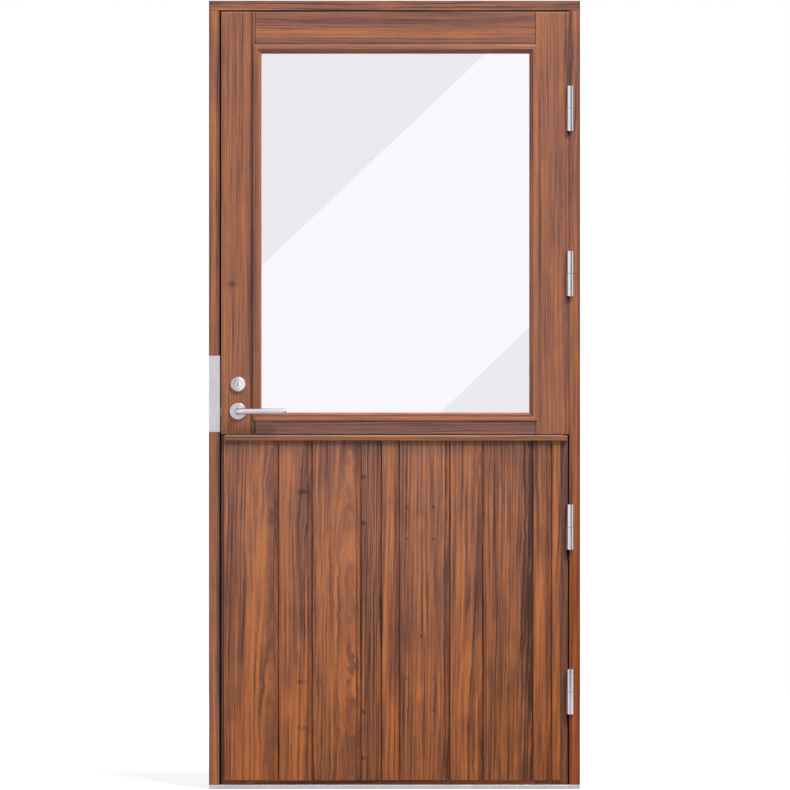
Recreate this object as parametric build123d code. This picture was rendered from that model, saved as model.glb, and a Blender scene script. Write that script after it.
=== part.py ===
from build123d import *
import os

# Dutch stable door: two timber leaves, one above the other, hung in one timber frame.
# Millimetres. X runs left to right as seen from outside, -Y faces outside and Z is up.
# The origin is the middle of the frame's underside.

# Frame
frame_width = 988.0
frame_height = 2100.0
frame_depth = 105.0
jamb_face = 29.0
head_face = 26.0
stop_width = 13.0
frame_arris = 1.5

# Threshold
sill_height = 12.0
sill_wall = 2.5
sill_chambers = 4
sill_nose = 2.0
upstand_height = 18.0
upstand_top = 6.0
upstand_foot = 26.0

# Gaps round and between the leaves
side_gap = 3.5
upper_hinge_gap = 0.8
top_gap = 3.5
bottom_gap = 2.0
meeting_height = 942.0
meeting_gap = 3.4
seal_gap = 3.0

# Leaf framing
leaf_thickness = 62.0
lock_stile_width = 90.0
hinge_stile_width = 85.5
leaf_arris = 1.0
tenon_length = 30.0
tenon_thickness = 20.0
tenon_shoulder = 9.0
tenon_clearance = 0.2

# Upper leaf
upper_top_rail_height = 93.0
upper_bottom_rail_height = 41.6

# Lower leaf
lower_top_rail_height = 90.0
lower_bottom_rail_height = 120.0
inner_panel_thickness = 8.0
panel_grooves = 9
panel_groove_depth = 2.0
board_thickness = 14.0
margin_recess = 6.0
lock_margin = 7.0
hinge_margin = 20.0
bottom_margin = 10.0

# Boards of the lower leaf, as the widths that they cover from the lock side; the last one is ripped to fit
board_widths = [147.5, 89.0, 130.0, 54.5, 47.5, 134.5, 88.0, 133.0, 49.5]
board_least = 20.0
board_arris = 1.2
board_lip = 10.5
board_lip_depth = 1.8
board_seam = 3.6
board_seam_depth = 6.0
tongue_length = 5.0
tongue_thickness = 3.0
tongue_set_back = 7.0
tongue_clearance = 0.2

# Weather cap along the top of the lower leaf
cap_height = 13.6
cap_projection = 12.0
cap_lock_set_back = 7.0
cap_hinge_set_back = 1.5
cap_bevel = 4.5
cap_quirk = 1.2
cap_end_chamfer = 3.0

# Glazing
bead_cover = 5.5
bead_width = 21.5
outer_bead_proud = 4.0
inner_bead_proud = 3.0
bead_band = 13.5
bead_step = 1.2
bead_slope_drop = 9.0
bead_round = 1.8
bead_clearance = 0.3
pane_thickness = 4.0
pane_gap = 16.0
pane_set_back = 14.0
pane_clearance = 2.0
tape_thickness = 2.0
tape_width = 10.0
spacer_width = 10.0
spacer_set_in = 2.0

# Weather seals
seal_bulb_width = 8.0
seal_bulb_rise = 2.7
seal_bulb_round = 1.2
seal_stem_width = 3.0
seal_stem_depth = 5.0

# Hinges
top_hinge_below_leaf_top = 258.0
second_hinge_below_top_hinge = 439.5
third_hinge_below_meeting = 243.5
bottom_hinge_above_leaf_bottom = 246.5
hinge_length = 120.0
barrel_radius = 9.0
barrel_clearance = 1.0
blade_thickness = 3.0
blade_width = 38.0
pin_radius = 5.0
pin_clearance = 0.05
pin_reach = 50.0
collar_height = 3.0
collar_radius = 8.6
collar_clearance = 0.1
blade_screw_rise = 40.0
blade_screw_set_back = 20.0
upper_run_out = 12.0
lower_run_out = 45.0
run_out_depth = 3.5

# Screws
screw_head_radius = 3.8
screw_head_height = 2.2
screw_shank_radius = 1.9
screw_length = 22.0
screw_clearance = 0.05
socket_radius = 1.7
socket_depth = 1.4

# Lock
backset = 45.0
case_above_tenon = 5.0
spindle_in_case = 23.5
cylinder_rise = 72.0
case_depth = 75.0
case_thickness = 16.0
case_wall = 2.0
case_above_cylinder = 44.5
case_clearance = 0.2
forend_width = 22.0
forend_thickness = 3.0
forend_below_case = 29.0
forend_above_case = 29.0
forend_corner = 4.0
bolt_thickness = 11.4
bolt_clearance = 0.3
latch_throw = 12.0
latch_height = 20.0
latch_tail = 20.0
dead_bolt_height = 26.0
dead_bolt_length = 34.0

# Strike plate on the lock jamb
strike_overhang = 2.5
strike_thickness = 2.0
strike_return = 44.0
strike_hole_clearance = 1.6
strike_pocket_depth = 22.0
strike_screw_inset = 14.0

# Lever handles
rose_radius = 22.0
rose_height = 9.0
rose_round = 2.0
lever_radius = 8.0
lever_length = 126.0
lever_reach = 48.0
lever_bend = 13.0
lever_tip_round = 2.5
lever_foot = 1.5
rose_clearance = 0.08
spindle_side = 8.0
spindle_clearance = 0.05
spindle_end = 29.0
follower_radius = 10.0
follower_clearance = 0.5
spindle_hole_radius = 7.0

# Cylinder and thumb turn
ring_radius = 19.8
ring_rim = 7.5
ring_height = 11.0
ring_face_radius = 16.5
ring_lip = 1.6
cylinder_radius = 11.0
cylinder_sink = 1.5
cylinder_clearance = 0.3
plug_radius = 6.5
plug_clearance = 0.05
keyway_width = 1.8
keyway_height = 8.0
keyway_depth = 14.0
tail_width = 6.0
tail_thickness = 2.0
tail_gap = 1.0
tail_hole_radius = 4.0
turn_stem_radius = 6.0
turn_grip_length = 28.0
turn_grip_width = 9.0
turn_grip_start = 12.0
turn_height = 27.0

# Surface bolts on the inside
bolt_plate_width = 40.0
bolt_plate_length = 110.0
bolt_plate_thickness = 2.5
bolt_rod_radius = 5.0
bolt_rod_offset = 14.5
bolt_rod_clearance = 0.08
bolt_guide_width = 18.0
bolt_guide_length = 16.0
bolt_guide_inset = 7.0
bolt_guide_wall = 4.0
bolt_travel = 26.0
bolt_rod_chamfer = 1.2
bolt_tail = 10.0
bolt_tip = 4.0
knob_radius = 5.0
knob_reach = 20.0
knob_place = 45.0
bolt_screw_inset = 30.0
bolt_screw_side = 14.0
link_bolt_below_top = 17.0
lower_bolt_rise = 466.0
lower_bolt_set_in = 20.5
keeper_width = 44.0
keeper_height = 20.0
keeper_rise = 6.0
keeper_hole_clearance = 0.6
keeper_screw_side = 16.0
lower_strike_width = 26.0
lower_strike_height = 56.0
lower_strike_thickness = 2.5
lower_strike_screw_rise = 20.0
bolt_pocket_margin = 3.0

# Fixing holes through the jambs
fixing_radius = 5.0
fixings_from_bottom = [130.0, 520.0]
fixings_from_top = [500.0, 140.0]

# Planes and edges that follow from the sizes above
front = -frame_depth / 2
frame_back = frame_depth / 2
leaf_back = front + leaf_thickness
leaf_middle = (front + leaf_back) / 2
stop_front = leaf_back + seal_gap
jamb_side = frame_width / 2
reveal = jamb_side - jamb_face
leaf_edge = reveal - side_gap
upper_hinge_edge = reveal - upper_hinge_gap
stop_edge = reveal - stop_width
head_underside = frame_height - head_face
leaf_top = head_underside - top_gap
leaf_bottom = sill_height + bottom_gap
upper_bottom = meeting_height + meeting_gap
lock_joint = lock_stile_width - leaf_edge
hinge_joint = leaf_edge - hinge_stile_width
glass_bottom = upper_bottom + upper_bottom_rail_height
glass_top = leaf_top - upper_top_rail_height
pane_front = front + pane_set_back
lower_front = front + margin_recess
lower_back = leaf_back - inner_panel_thickness
board_back = front + board_thickness
board_left = lock_margin - leaf_edge
board_right = leaf_edge - hinge_margin
board_bottom = leaf_bottom + bottom_margin
cap_bottom = meeting_height - cap_height
seal_groove_x = (reveal + stop_edge) / 2
pivot_x = leaf_edge - blade_thickness + barrel_radius
pivot_y = front - barrel_clearance - barrel_radius
top_hinge_height = leaf_top - top_hinge_below_leaf_top
hinge_heights = [
    top_hinge_height,
    top_hinge_height - second_hinge_below_top_hinge,
    meeting_height - third_hinge_below_meeting,
    leaf_bottom + bottom_hinge_above_leaf_bottom,
]
spindle_x = backset - leaf_edge
case_bottom = glass_bottom - tenon_shoulder + case_above_tenon
spindle_height = case_bottom + spindle_in_case
cylinder_height = spindle_height + cylinder_rise
case_top = cylinder_height + case_above_cylinder
case_front_x = forend_thickness - leaf_edge
forend_bottom = case_bottom - forend_below_case
forend_top = case_top + forend_above_case
strike_bottom = forend_bottom - strike_overhang
strike_top = forend_top + strike_overhang
rod_y = leaf_back + bolt_rod_offset
link_bolt_middle = meeting_height - link_bolt_below_top - bolt_plate_length / 2
lower_bolt_height = leaf_bottom + lower_bolt_rise
lower_bolt_middle = lower_bolt_set_in + bolt_plate_length / 2 - leaf_edge
lower_bolt_tip = lower_bolt_middle - bolt_plate_length / 2 - bolt_tip
lower_bolt_hole_end = lower_bolt_tip - bolt_travel - bolt_pocket_margin
fixing_heights = fixings_from_bottom + [frame_height - drop for drop in fixings_from_top]


def block(x, y, z):
    """A rectangular block between two values on each axis."""
    middle = Pos((x[0] + x[1]) / 2, (y[0] + y[1]) / 2, (z[0] + z[1]) / 2)
    return middle * Box(abs(x[1] - x[0]), abs(y[1] - y[0]), abs(z[1] - z[0]))


def around(middle, half):
    """The pair of values at a half width to each side of a middle."""
    return (middle - half, middle + half)


def section(points):
    """A flat face with straight edges through the points."""
    return make_face(Polyline(*points, close=True))


def along_x(face, x0, x1):
    """Extrude a section drawn in Y and Z from one X to another."""
    return extrude(Plane.YZ.offset(x0) * face, amount=x1 - x0, dir=(1, 0, 0))


def along_y(face, y0, y1):
    """Extrude a section drawn in X and Z from one Y to another."""
    return extrude(Plane.XZ.offset(-y0) * face, amount=y1 - y0, dir=(0, 1, 0))


def along_z(face, z0, z1):
    """Extrude a section drawn in X and Y from one Z to another."""
    return extrude(Plane.XY.offset(z0) * face, amount=z1 - z0, dir=(0, 0, 1))


def rod(radius, start, end):
    """A cylinder from one point to another."""
    run = Vector(*end) - Vector(*start)
    foot = (Align.CENTER, Align.CENTER, Align.MIN)
    return Plane(origin=start, z_dir=run.normalized()) * Cylinder(radius, run.length, align=foot)


def turned(profile):
    """Revolve a profile of radius and height about the Z axis."""
    face = Plane.XZ * section(profile)
    return revolve(face, Axis.Z)


def from_outside(x, z):
    """A place on the leaf's outer face whose Z points outwards."""
    return Location((x, front, z), (90, 0, 0))


def from_inside(x, z):
    """A place on the leaf's inner face whose Z points into the room."""
    return Location((x, leaf_back, z), (-90, 0, 0))


def cut(body, tools):
    """Take each tool away from the body."""
    for tool in tools:
        body = body - tool
    return body


def group(solids):
    """Keep separate solids together as one piece."""
    return Compound(children=[solid for item in solids for solid in item.solids()])


# Screws

def screw_shape(place, growth):
    """Countersunk head and shank along a direction, made larger all round by the growth."""
    point, direction = place
    foot = (Align.CENTER, Align.CENTER, Align.MIN)
    head = Cone(screw_head_radius + growth, screw_shank_radius + growth, screw_head_height, align=foot)
    shank = Cylinder(screw_shank_radius + growth, screw_length + growth, align=foot)
    return Plane(origin=point, z_dir=direction) * (head + shank)


def screw(place):
    """A screw with its head flush at the place and a hexagon socket."""
    point, direction = place
    hexagon = RegularPolygon(socket_radius, 6)
    socket = Plane(origin=point, z_dir=direction) * extrude(hexagon, amount=socket_depth)
    return screw_shape(place, 0.0) - socket


def screw_hole(place):
    """The countersunk hole that takes a screw."""
    return screw_shape(place, screw_clearance)


def hinge_screws(height, side_x, direction):
    """Places of the three screws through one hinge blade."""
    rises = (-blade_screw_rise, 0.0, blade_screw_rise)
    return [((side_x, front + blade_screw_set_back, height + rise), direction) for rise in rises]


def leaf_hinge_screws(height):
    return hinge_screws(height, leaf_edge, (-1, 0, 0))


def frame_hinge_screws(height):
    return hinge_screws(height, reveal, (1, 0, 0))


def strike_screws():
    ends = (strike_bottom + strike_screw_inset, strike_top - strike_screw_inset)
    return [((-reveal, leaf_middle, z), (-1, 0, 0)) for z in ends]


def forend_screws():
    ends = ((forend_bottom + case_bottom) / 2, (forend_top + case_top) / 2)
    return [((-leaf_edge, leaf_middle, z), (1, 0, 0)) for z in ends]


def lower_strike_screws():
    ends = around(lower_bolt_height, lower_strike_screw_rise)
    return [((-stop_edge, rod_y, z), (-1, 0, 0)) for z in ends]


def keeper_screws():
    z = upper_bottom + keeper_rise + keeper_height / 2
    face = leaf_back + bolt_plate_thickness
    return [((x, face, z), (0, -1, 0)) for x in around(spindle_x, keeper_screw_side)]


def plate_screws(corner_x, corner_z):
    """Places of four screws at the given pairs of X and Z on a bolt's plate."""
    face = leaf_back + bolt_plate_thickness
    return [((x, face, z), (0, -1, 0)) for x in corner_x for z in corner_z]


def link_plate_screws():
    half = bolt_plate_length / 2 - bolt_screw_inset
    return plate_screws(around(spindle_x, bolt_screw_side), around(link_bolt_middle, half))


def lower_plate_screws():
    half = bolt_plate_length / 2 - bolt_screw_inset
    return plate_screws(around(lower_bolt_middle, half), around(lower_bolt_height, bolt_screw_side))


def screws(places):
    return group([screw(place) for place in places])


# Frame

def l_section(outer, inner, step, flip):
    """Jamb section in X and Y: the face towards the reveal, then the stop behind the leaf."""
    points = [(outer, front), (inner, front), (inner, stop_front), (step, stop_front)]
    points += [(step, frame_back), (outer, frame_back)]
    return section([(flip * x, y) for x, y in points])


def seal_groove_jamb(flip):
    """Groove in the jamb's stop that holds the seal's stem."""
    x = around(flip * seal_groove_x, seal_stem_width / 2)
    y = (stop_front, stop_front + seal_stem_depth)
    return block(x, y, (sill_height, head_underside))


def fixing_holes(flip):
    """Holes through a jamb for the fixings into the wall."""
    ends = (flip * reveal, flip * jamb_side)
    return [rod(fixing_radius, (ends[0], leaf_middle, z), (ends[1], leaf_middle, z)) for z in fixing_heights]


def jamb(flip):
    """One jamb, from the threshold to the head, before its hardware is let in."""
    body = along_z(l_section(jamb_side, reveal, stop_edge, flip), sill_height, head_underside)
    body = fillet(body.edges().filter_by(Axis.Z), frame_arris)
    return cut(body, [seal_groove_jamb(flip)] + fixing_holes(flip))


def lock_jamb():
    """Left jamb, let in for the strike plates and bored for the bolts."""
    body = cut(jamb(-1), strike_legs() + strike_pockets())
    body = cut(body, [lower_strike_blank(), lower_bolt_hole()])
    return cut(body, [screw_hole(place) for place in strike_screws() + lower_strike_screws()])


def run_out(x0, x1, height, length):
    """Tapered cut where the tool leaves the housing under a hinge."""
    top = height - hinge_length / 2
    face = section([(x0, top), (x1, top), (x1, top - length)])
    return along_y(face, front, front + blade_width)


def hinge_jamb():
    """Right jamb, let in for the frame halves of the hinges."""
    body = jamb(1)
    for height in hinge_heights:
        z = around(height, hinge_length / 2)
        housing = block((reveal, reveal + blade_thickness), (front, front + blade_width), z)
        tools = [housing] + [screw_hole(place) for place in frame_hinge_screws(height)]
        body = cut(body, tools)
    return body


def frame_head():
    """Head over both jambs, with its stop between theirs."""
    bar = block((-jamb_side, jamb_side), (front, frame_back), (head_underside, frame_height))
    bar = fillet(bar.edges().filter_by(Axis.X), frame_arris)
    stop_z = (head_underside - stop_width, head_underside + frame_arris)
    stop = block((-stop_edge, stop_edge), (stop_front, frame_back - frame_arris), stop_z)
    groove_z = around(head_underside - stop_width / 2, seal_stem_width / 2)
    groove_y = (stop_front, stop_front + seal_stem_depth)
    return bar + stop - block((-stop_edge, stop_edge), groove_y, groove_z)


def threshold():
    """Extruded sill with chambers, a rounded nose and an upstand behind the leaf."""
    plate = block((-jamb_side, jamb_side), (front, frame_back), (0, sill_height))
    nose = plate.edges().filter_by(Axis.X).group_by(Axis.Y)[0].sort_by(Axis.Z)[-1]
    plate = fillet(nose, sill_nose)
    pitch = (frame_depth - sill_wall) / sill_chambers
    for number in range(sill_chambers):
        start = front + sill_wall + number * pitch
        chamber_y = (start, start + pitch - sill_wall)
        plate -= block((-jamb_side, jamb_side), chamber_y, (sill_wall, sill_height - sill_wall))
    top = sill_height + upstand_height
    ramp = [(stop_front, sill_height), (stop_front, top), (stop_front + upstand_top, top)]
    ramp += [(stop_front + upstand_foot, sill_height)]
    upstand = along_x(section(ramp), -stop_edge, stop_edge)
    groove_y = (stop_front, stop_front + seal_stem_depth)
    groove_z = around(sill_height + upstand_height / 2, seal_stem_width / 2)
    return plate + upstand - block((-stop_edge, stop_edge), groove_y, groove_z)


def seal_section():
    """Seal section, the stem towards +Y and the rounded bulb towards -Y from the stop's face."""
    half = seal_bulb_width / 2
    bulb = section([(-half, 0), (half, 0), (half, -seal_bulb_rise), (-half, -seal_bulb_rise)])
    front_corners = bulb.vertices().group_by(Axis.Y)[0]
    bulb = fillet(front_corners, seal_bulb_round)
    stem_half = seal_stem_width / 2
    stem = [(-stem_half, 0), (stem_half, 0), (stem_half, seal_stem_depth), (-stem_half, seal_stem_depth)]
    return bulb + section(stem)


def frame_seals():
    """Seals in both jambs, the head and the threshold's upstand."""
    seals = []
    for flip in (-1, 1):
        place = Pos(flip * seal_groove_x, stop_front, sill_height)
        seals.append(place * extrude(seal_section(), amount=head_underside - sill_height))
    for z in (head_underside - stop_width / 2, sill_height + upstand_height / 2):
        place = Location((-stop_edge, stop_front, z), (0, 90, 0))
        seals.append(place * extrude(seal_section(), amount=2 * stop_edge))
    return group(seals)


# Strike plates

def strike_legs():
    """The two legs of the angled strike plate, on the jamb's face and in its reveal."""
    z = (strike_bottom, strike_top)
    face_leg = block((-jamb_side, -reveal), (front, front + strike_thickness), z)
    reveal_x = (-reveal - strike_thickness, -reveal)
    return [face_leg, block(reveal_x, (front, front + strike_return), z)]


def bolt_openings(x0, x1, clearance):
    """Openings for the latch and the dead bolt between two values of X."""
    y = around(leaf_middle, bolt_thickness / 2 + clearance)
    latch_z = around(spindle_height, latch_height / 2 + clearance)
    dead_z = around(cylinder_height, dead_bolt_height / 2 + clearance)
    return [block((x0, x1), y, latch_z), block((x0, x1), y, dead_z)]


def strike_pockets():
    """Pockets in the jamb behind the strike plate."""
    return bolt_openings(-reveal - strike_pocket_depth, -reveal, strike_hole_clearance)


def lock_strike():
    """Angled strike plate with openings for latch and dead bolt."""
    legs = strike_legs()
    plate = legs[0] + legs[1]
    openings = bolt_openings(-reveal - strike_thickness, -reveal, strike_hole_clearance)
    return cut(plate, openings + [screw_hole(place) for place in strike_screws()])


def lower_strike_blank():
    """Outline of the plate let into the stop where the lower bolt enters."""
    x = (-stop_edge - lower_strike_thickness, -stop_edge)
    y = around(rod_y, lower_strike_width / 2)
    y = (max(y[0], stop_front), y[1])
    return block(x, y, around(lower_bolt_height, lower_strike_height / 2))


def lower_bolt_hole():
    """Hole for the lower bolt through the stop and into the jamb."""
    radius = bolt_rod_radius + keeper_hole_clearance
    mouth = (-stop_edge, rod_y, lower_bolt_height)
    return rod(radius, mouth, (lower_bolt_hole_end, rod_y, lower_bolt_height))


def lower_strike():
    """Plate with the lower bolt's hole and two screws."""
    tools = [lower_bolt_hole()] + [screw_hole(place) for place in lower_strike_screws()]
    return cut(lower_strike_blank(), tools)


# Hinges

def knuckle(z0, z1, bore_z0, bore_z1):
    """Barrel of a hinge half, bored for the pin."""
    barrel = rod(barrel_radius, (pivot_x, pivot_y, z0), (pivot_x, pivot_y, z1))
    bore = rod(pin_radius + pin_clearance, (pivot_x, pivot_y, bore_z0), (pivot_x, pivot_y, bore_z1))
    return barrel, bore


def hinge_half(height, x, z0, z1, bore, places):
    """A blade, the strap that carries it forward and its half of the barrel."""
    blade = block(x, (front, front + blade_width), around(height, hinge_length / 2))
    strap = block(x, (pivot_y, front), (z0, z1))
    barrel, hole = knuckle(z0, z1, bore[0], bore[1])
    return cut(blade + strap + barrel, [hole] + [screw_hole(place) for place in places])


def frame_hinge_half(height):
    """Lower half of the barrel, on the blade in the jamb."""
    z0 = height - hinge_length / 2
    z1 = height - collar_height / 2
    x = (reveal, reveal + blade_thickness)
    bore = (height - pin_reach, z1)
    return hinge_half(height, x, z0, z1, bore, frame_hinge_screws(height))


def leaf_hinge_half(height):
    """Upper half of the barrel, on the blade in the leaf's edge."""
    z0 = height + collar_height / 2 + collar_clearance
    z1 = height + hinge_length / 2
    x = (leaf_edge - blade_thickness, leaf_edge)
    bore = (z0, height + pin_reach + pin_clearance)
    return hinge_half(height, x, z0, z1, bore, leaf_hinge_screws(height))


def hinge_pin(height):
    """Fixed pin with the collar that the leaf half turns on."""
    pin = rod(pin_radius, (pivot_x, pivot_y, height - pin_reach), (pivot_x, pivot_y, height + pin_reach))
    low = (pivot_x, pivot_y, height - collar_height / 2)
    high = (pivot_x, pivot_y, height + collar_height / 2)
    return pin + rod(collar_radius, low, high)


def leaf_hinge_cuts(heights, edge, length):
    """Housings, screw holes and run-outs for the hinges, open to the leaf's edge."""
    tools = []
    for height in heights:
        x = (leaf_edge - blade_thickness, edge)
        tools.append(block(x, (front, front + blade_width), around(height, hinge_length / 2)))
        tools.append(run_out(leaf_edge - run_out_depth, edge, height, length))
        tools += [screw_hole(place) for place in leaf_hinge_screws(height)]
    return tools


# Leaf framing

def tenon(side, z0, z1, growth):
    """Tenon at one end of a rail, or with a growth the mortise that takes it."""
    joint = lock_joint if side < 0 else hinge_joint
    tip = joint + side * (tenon_length + growth)
    y = around(leaf_middle, tenon_thickness / 2 + growth)
    z = (z0 + tenon_shoulder - growth, z1 - tenon_shoulder + growth)
    return block((joint, tip), y, z)


def rail(y, z0, z1):
    """Rail between the stiles with a tenon at each end."""
    body = block((lock_joint, hinge_joint), y, (z0, z1))
    body = chamfer(body.edges().filter_by(Axis.X), leaf_arris)
    return body + tenon(-1, z0, z1, 0.0) + tenon(1, z0, z1, 0.0)


def stile(side, edge, y, z, rails):
    """Stile out to its leaf's edge with a mortise for each rail, given as pairs of heights."""
    x = (-edge, lock_joint) if side < 0 else (hinge_joint, edge)
    body = block(x, y, z)
    body = chamfer(body.edges().filter_by(Axis.Z), leaf_arris)
    return cut(body, [tenon(side, low, high, tenon_clearance) for low, high in rails])


upper_y = (front, leaf_back)
upper_z = (upper_bottom, leaf_top)
upper_rails = [(glass_top, leaf_top), (upper_bottom, glass_bottom)]
lower_y = (lower_front, lower_back)
lower_z = (leaf_bottom, meeting_height)
lower_rails = [
    (meeting_height - lower_top_rail_height, meeting_height),
    (leaf_bottom, leaf_bottom + lower_bottom_rail_height),
]


def meeting_groove():
    """Groove along the underside of the upper leaf for the meeting seal."""
    y = around(leaf_middle, seal_stem_width / 2)
    return block((-leaf_edge, upper_hinge_edge), y, (upper_bottom, upper_bottom + seal_stem_depth))


def meeting_seal():
    """Seal that hangs under the upper leaf, just clear of the lower one."""
    return Pos(0, leaf_middle, upper_bottom) * along_x(seal_section(), -leaf_edge, upper_hinge_edge)


def upper_lock_stile():
    """Stile with the pockets and holes for the lock and its handles."""
    body = stile(-1, leaf_edge, upper_y, upper_z, upper_rails)
    body = cut(body, [meeting_groove()] + lock_pockets())
    return cut(body, [screw_hole(place) for place in forend_screws() + keeper_screws()])


def upper_hinge_stile():
    """Stile let in for the two upper hinges."""
    body = stile(1, upper_hinge_edge, upper_y, upper_z, upper_rails)
    return cut(body, [meeting_groove()] + leaf_hinge_cuts(hinge_heights[:2], upper_hinge_edge, upper_run_out))


def upper_top_rail():
    return rail(upper_y, glass_top, leaf_top)


def upper_bottom_rail():
    return rail(upper_y, upper_bottom, glass_bottom) - meeting_groove()


# Glazing

def mitred(profile, corners):
    """Four mitred lengths of a profile round a rectangle, drawn inwards from its outer edge."""
    x0, x1, z0, z1 = corners
    lengths = []
    for turn in range(4):
        wide, high = (x1 - x0, z1 - z0) if turn % 2 == 0 else (z1 - z0, x1 - x0)
        strip = extrude(Plane.YZ.offset(-wide / 2) * profile, amount=wide, dir=(1, 0, 0))
        strip = Pos(0, 0, -high / 2) * strip
        reach = bead_width * 2
        wedge = section([
            (-wide / 2, -high / 2), (wide / 2, -high / 2),
            (wide / 2 - reach, -high / 2 + reach), (-wide / 2 + reach, -high / 2 + reach),
        ])
        strip = strip & along_y(wedge, front * 2, -front * 2)
        lengths.append(Pos((x0 + x1) / 2, 0, (z0 + z1) / 2) * Rot(0, 90 * turn, 0) * strip)
    return lengths


def bead_corners():
    """Outer rectangle of the glazing beads."""
    return (
        lock_joint - bead_cover, hinge_joint + bead_cover,
        glass_bottom - bead_cover, glass_top + bead_cover,
    )


def bead_section(face, away, proud, back, slope_drop):
    """Bead section as Y and height above the outer edge; away is the way the bead stands proud."""
    inside = bead_cover + bead_clearance
    crown = face + away * proud
    points = [
        (face, 0), (crown, 0), (crown, bead_band), (crown - away * bead_step, bead_band),
        (crown - away * (bead_step + slope_drop), bead_width),
        (back, bead_width), (back, inside), (face, inside),
    ]
    shape = section(points)
    arris = [v for v in shape.vertices() if abs(v.X - crown) < bead_clearance / 10]
    return fillet(arris, bead_round / 2)


def outer_beads():
    """Moulded beads outside the glass."""
    back = pane_front - tape_thickness
    shape = bead_section(front, -1, outer_bead_proud, back, bead_slope_drop)
    return group(mitred(shape, bead_corners()))


def inner_beads():
    """Beads inside the glass, which clamp it."""
    back = pane_front + 2 * pane_thickness + pane_gap + tape_thickness
    shape = bead_section(leaf_back, 1, inner_bead_proud, back, bead_slope_drop)
    return group(mitred(shape, bead_corners()))


def glass_outline(inset):
    """Rectangle of the glass unit in X and Z, less an inset all round."""
    gap = pane_clearance + inset
    return (lock_joint + gap, hinge_joint - gap), (glass_bottom + gap, glass_top - gap)


def pane(y0):
    """One sheet of glass."""
    x, z = glass_outline(0.0)
    return block(x, (y0, y0 + pane_thickness), z)


def ring_of(inset, width, y0, y1):
    """Rectangular ring that follows the glass's edge."""
    outer_x, outer_z = glass_outline(inset)
    inner_x, inner_z = glass_outline(inset + width)
    return block(outer_x, (y0, y1), outer_z) - block(inner_x, (y0, y1), inner_z)


def glass_spacer():
    start = pane_front + pane_thickness
    return ring_of(spacer_set_in, spacer_width, start, start + pane_gap)


def glazing_tapes():
    """Tapes between the panes and the beads."""
    back = pane_front + 2 * pane_thickness + pane_gap
    outer = ring_of(spacer_set_in, tape_width, pane_front - tape_thickness, pane_front)
    return group([outer, ring_of(spacer_set_in, tape_width, back, back + tape_thickness)])


# Lock

def lock_pockets():
    """Everything that is cut from the lock stile for the lock and its handles."""
    y = around(leaf_middle, case_thickness / 2 + case_clearance)
    x = (-leaf_edge, case_front_x + case_depth + case_clearance)
    pocket = block(x, y, (case_bottom - case_clearance, case_top + case_clearance))
    spindle_hole = rod(spindle_hole_radius, (spindle_x, front, spindle_height),
                       (spindle_x, leaf_back, spindle_height))
    cylinder_hole = rod(cylinder_radius + cylinder_clearance, (spindle_x, front, cylinder_height),
                        (spindle_x, leaf_middle, cylinder_height))
    tail_hole = rod(tail_hole_radius, (spindle_x, leaf_middle, cylinder_height),
                    (spindle_x, leaf_back, cylinder_height))
    return [pocket, forend_blank(), spindle_hole, cylinder_hole, tail_hole]


def forend_blank():
    """Outline of the forend in the leaf's edge."""
    y = around(leaf_middle, forend_width / 2)
    z = (forend_bottom, forend_top)
    plate = block((-leaf_edge, case_front_x), y, z)
    return fillet(plate.edges().filter_by(Axis.X), forend_corner)


def lock_case():
    """Closed case of folded steel with its forend, open for bolts, spindle and tail."""
    x = (case_front_x, case_front_x + case_depth)
    y = around(leaf_middle, case_thickness / 2)
    shell = block(x, y, (case_bottom, case_top))
    inner_x = (x[0] + case_wall, x[1] - case_wall)
    inner_y = (y[0] + case_wall, y[1] - case_wall)
    shell -= block(inner_x, inner_y, (case_bottom + case_wall, case_top - case_wall))
    openings = bolt_openings(-leaf_edge, inner_x[0], bolt_clearance)
    for radius, z in ((spindle_hole_radius, spindle_height), (tail_hole_radius, cylinder_height)):
        openings.append(rod(radius, (spindle_x, y[0], z), (spindle_x, y[1], z)))
    body = cut(shell + forend_blank(), openings)
    return cut(body, [screw_hole(place) for place in forend_screws()])


def latch_bolt():
    """Spring latch, bevelled on the side that meets the strike as the leaf closes."""
    y0, y1 = around(leaf_middle, bolt_thickness / 2)
    tip = -leaf_edge - latch_throw
    tail = -leaf_edge + latch_tail
    nose = bolt_thickness / 6
    plan = section([(tail, y0), (tip, y0), (tip, y0 + nose), (-leaf_edge, y1), (tail, y1)])
    return along_z(plan, *around(spindle_height, latch_height / 2))


def dead_bolt():
    """Rectangular bolt, flush with the forend when drawn back."""
    y = around(leaf_middle, bolt_thickness / 2)
    z = around(cylinder_height, dead_bolt_height / 2)
    bolt = block((-leaf_edge, -leaf_edge + dead_bolt_length), y, z)
    return chamfer(bolt.edges().group_by(Axis.X)[0], bolt_clearance * 2)


# Lever handles

def lever():
    """Round bar that leaves the rose, bends and runs level, with the spindle's square hole."""
    path = FilletPolyline(
        (0, 0, lever_foot), (0, 0, lever_reach), (lever_length, 0, lever_reach), radius=lever_bend
    )
    start = Plane(origin=(0, 0, lever_foot), z_dir=(0, 0, 1))
    bar = sweep(start * Circle(lever_radius), path=path)
    tip = bar.edges().group_by(Axis.X)[-1]
    bar = fillet(tip, lever_tip_round)
    half = spindle_side / 2 + spindle_clearance
    return bar - block((-half, half), (-half, half), (lever_foot, spindle_end + spindle_side / 2))


def spindle():
    """Square spindle with the follower that draws the latch."""
    half = spindle_side / 2
    y = (front - spindle_end, leaf_back + spindle_end)
    bar = block(around(spindle_x, half), y, around(spindle_height, half))
    reach = case_thickness / 2 - case_wall - follower_clearance
    ends = around(leaf_middle, reach)
    hub = rod(follower_radius, (spindle_x, ends[0], spindle_height), (spindle_x, ends[1], spindle_height))
    return bar + hub


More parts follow.
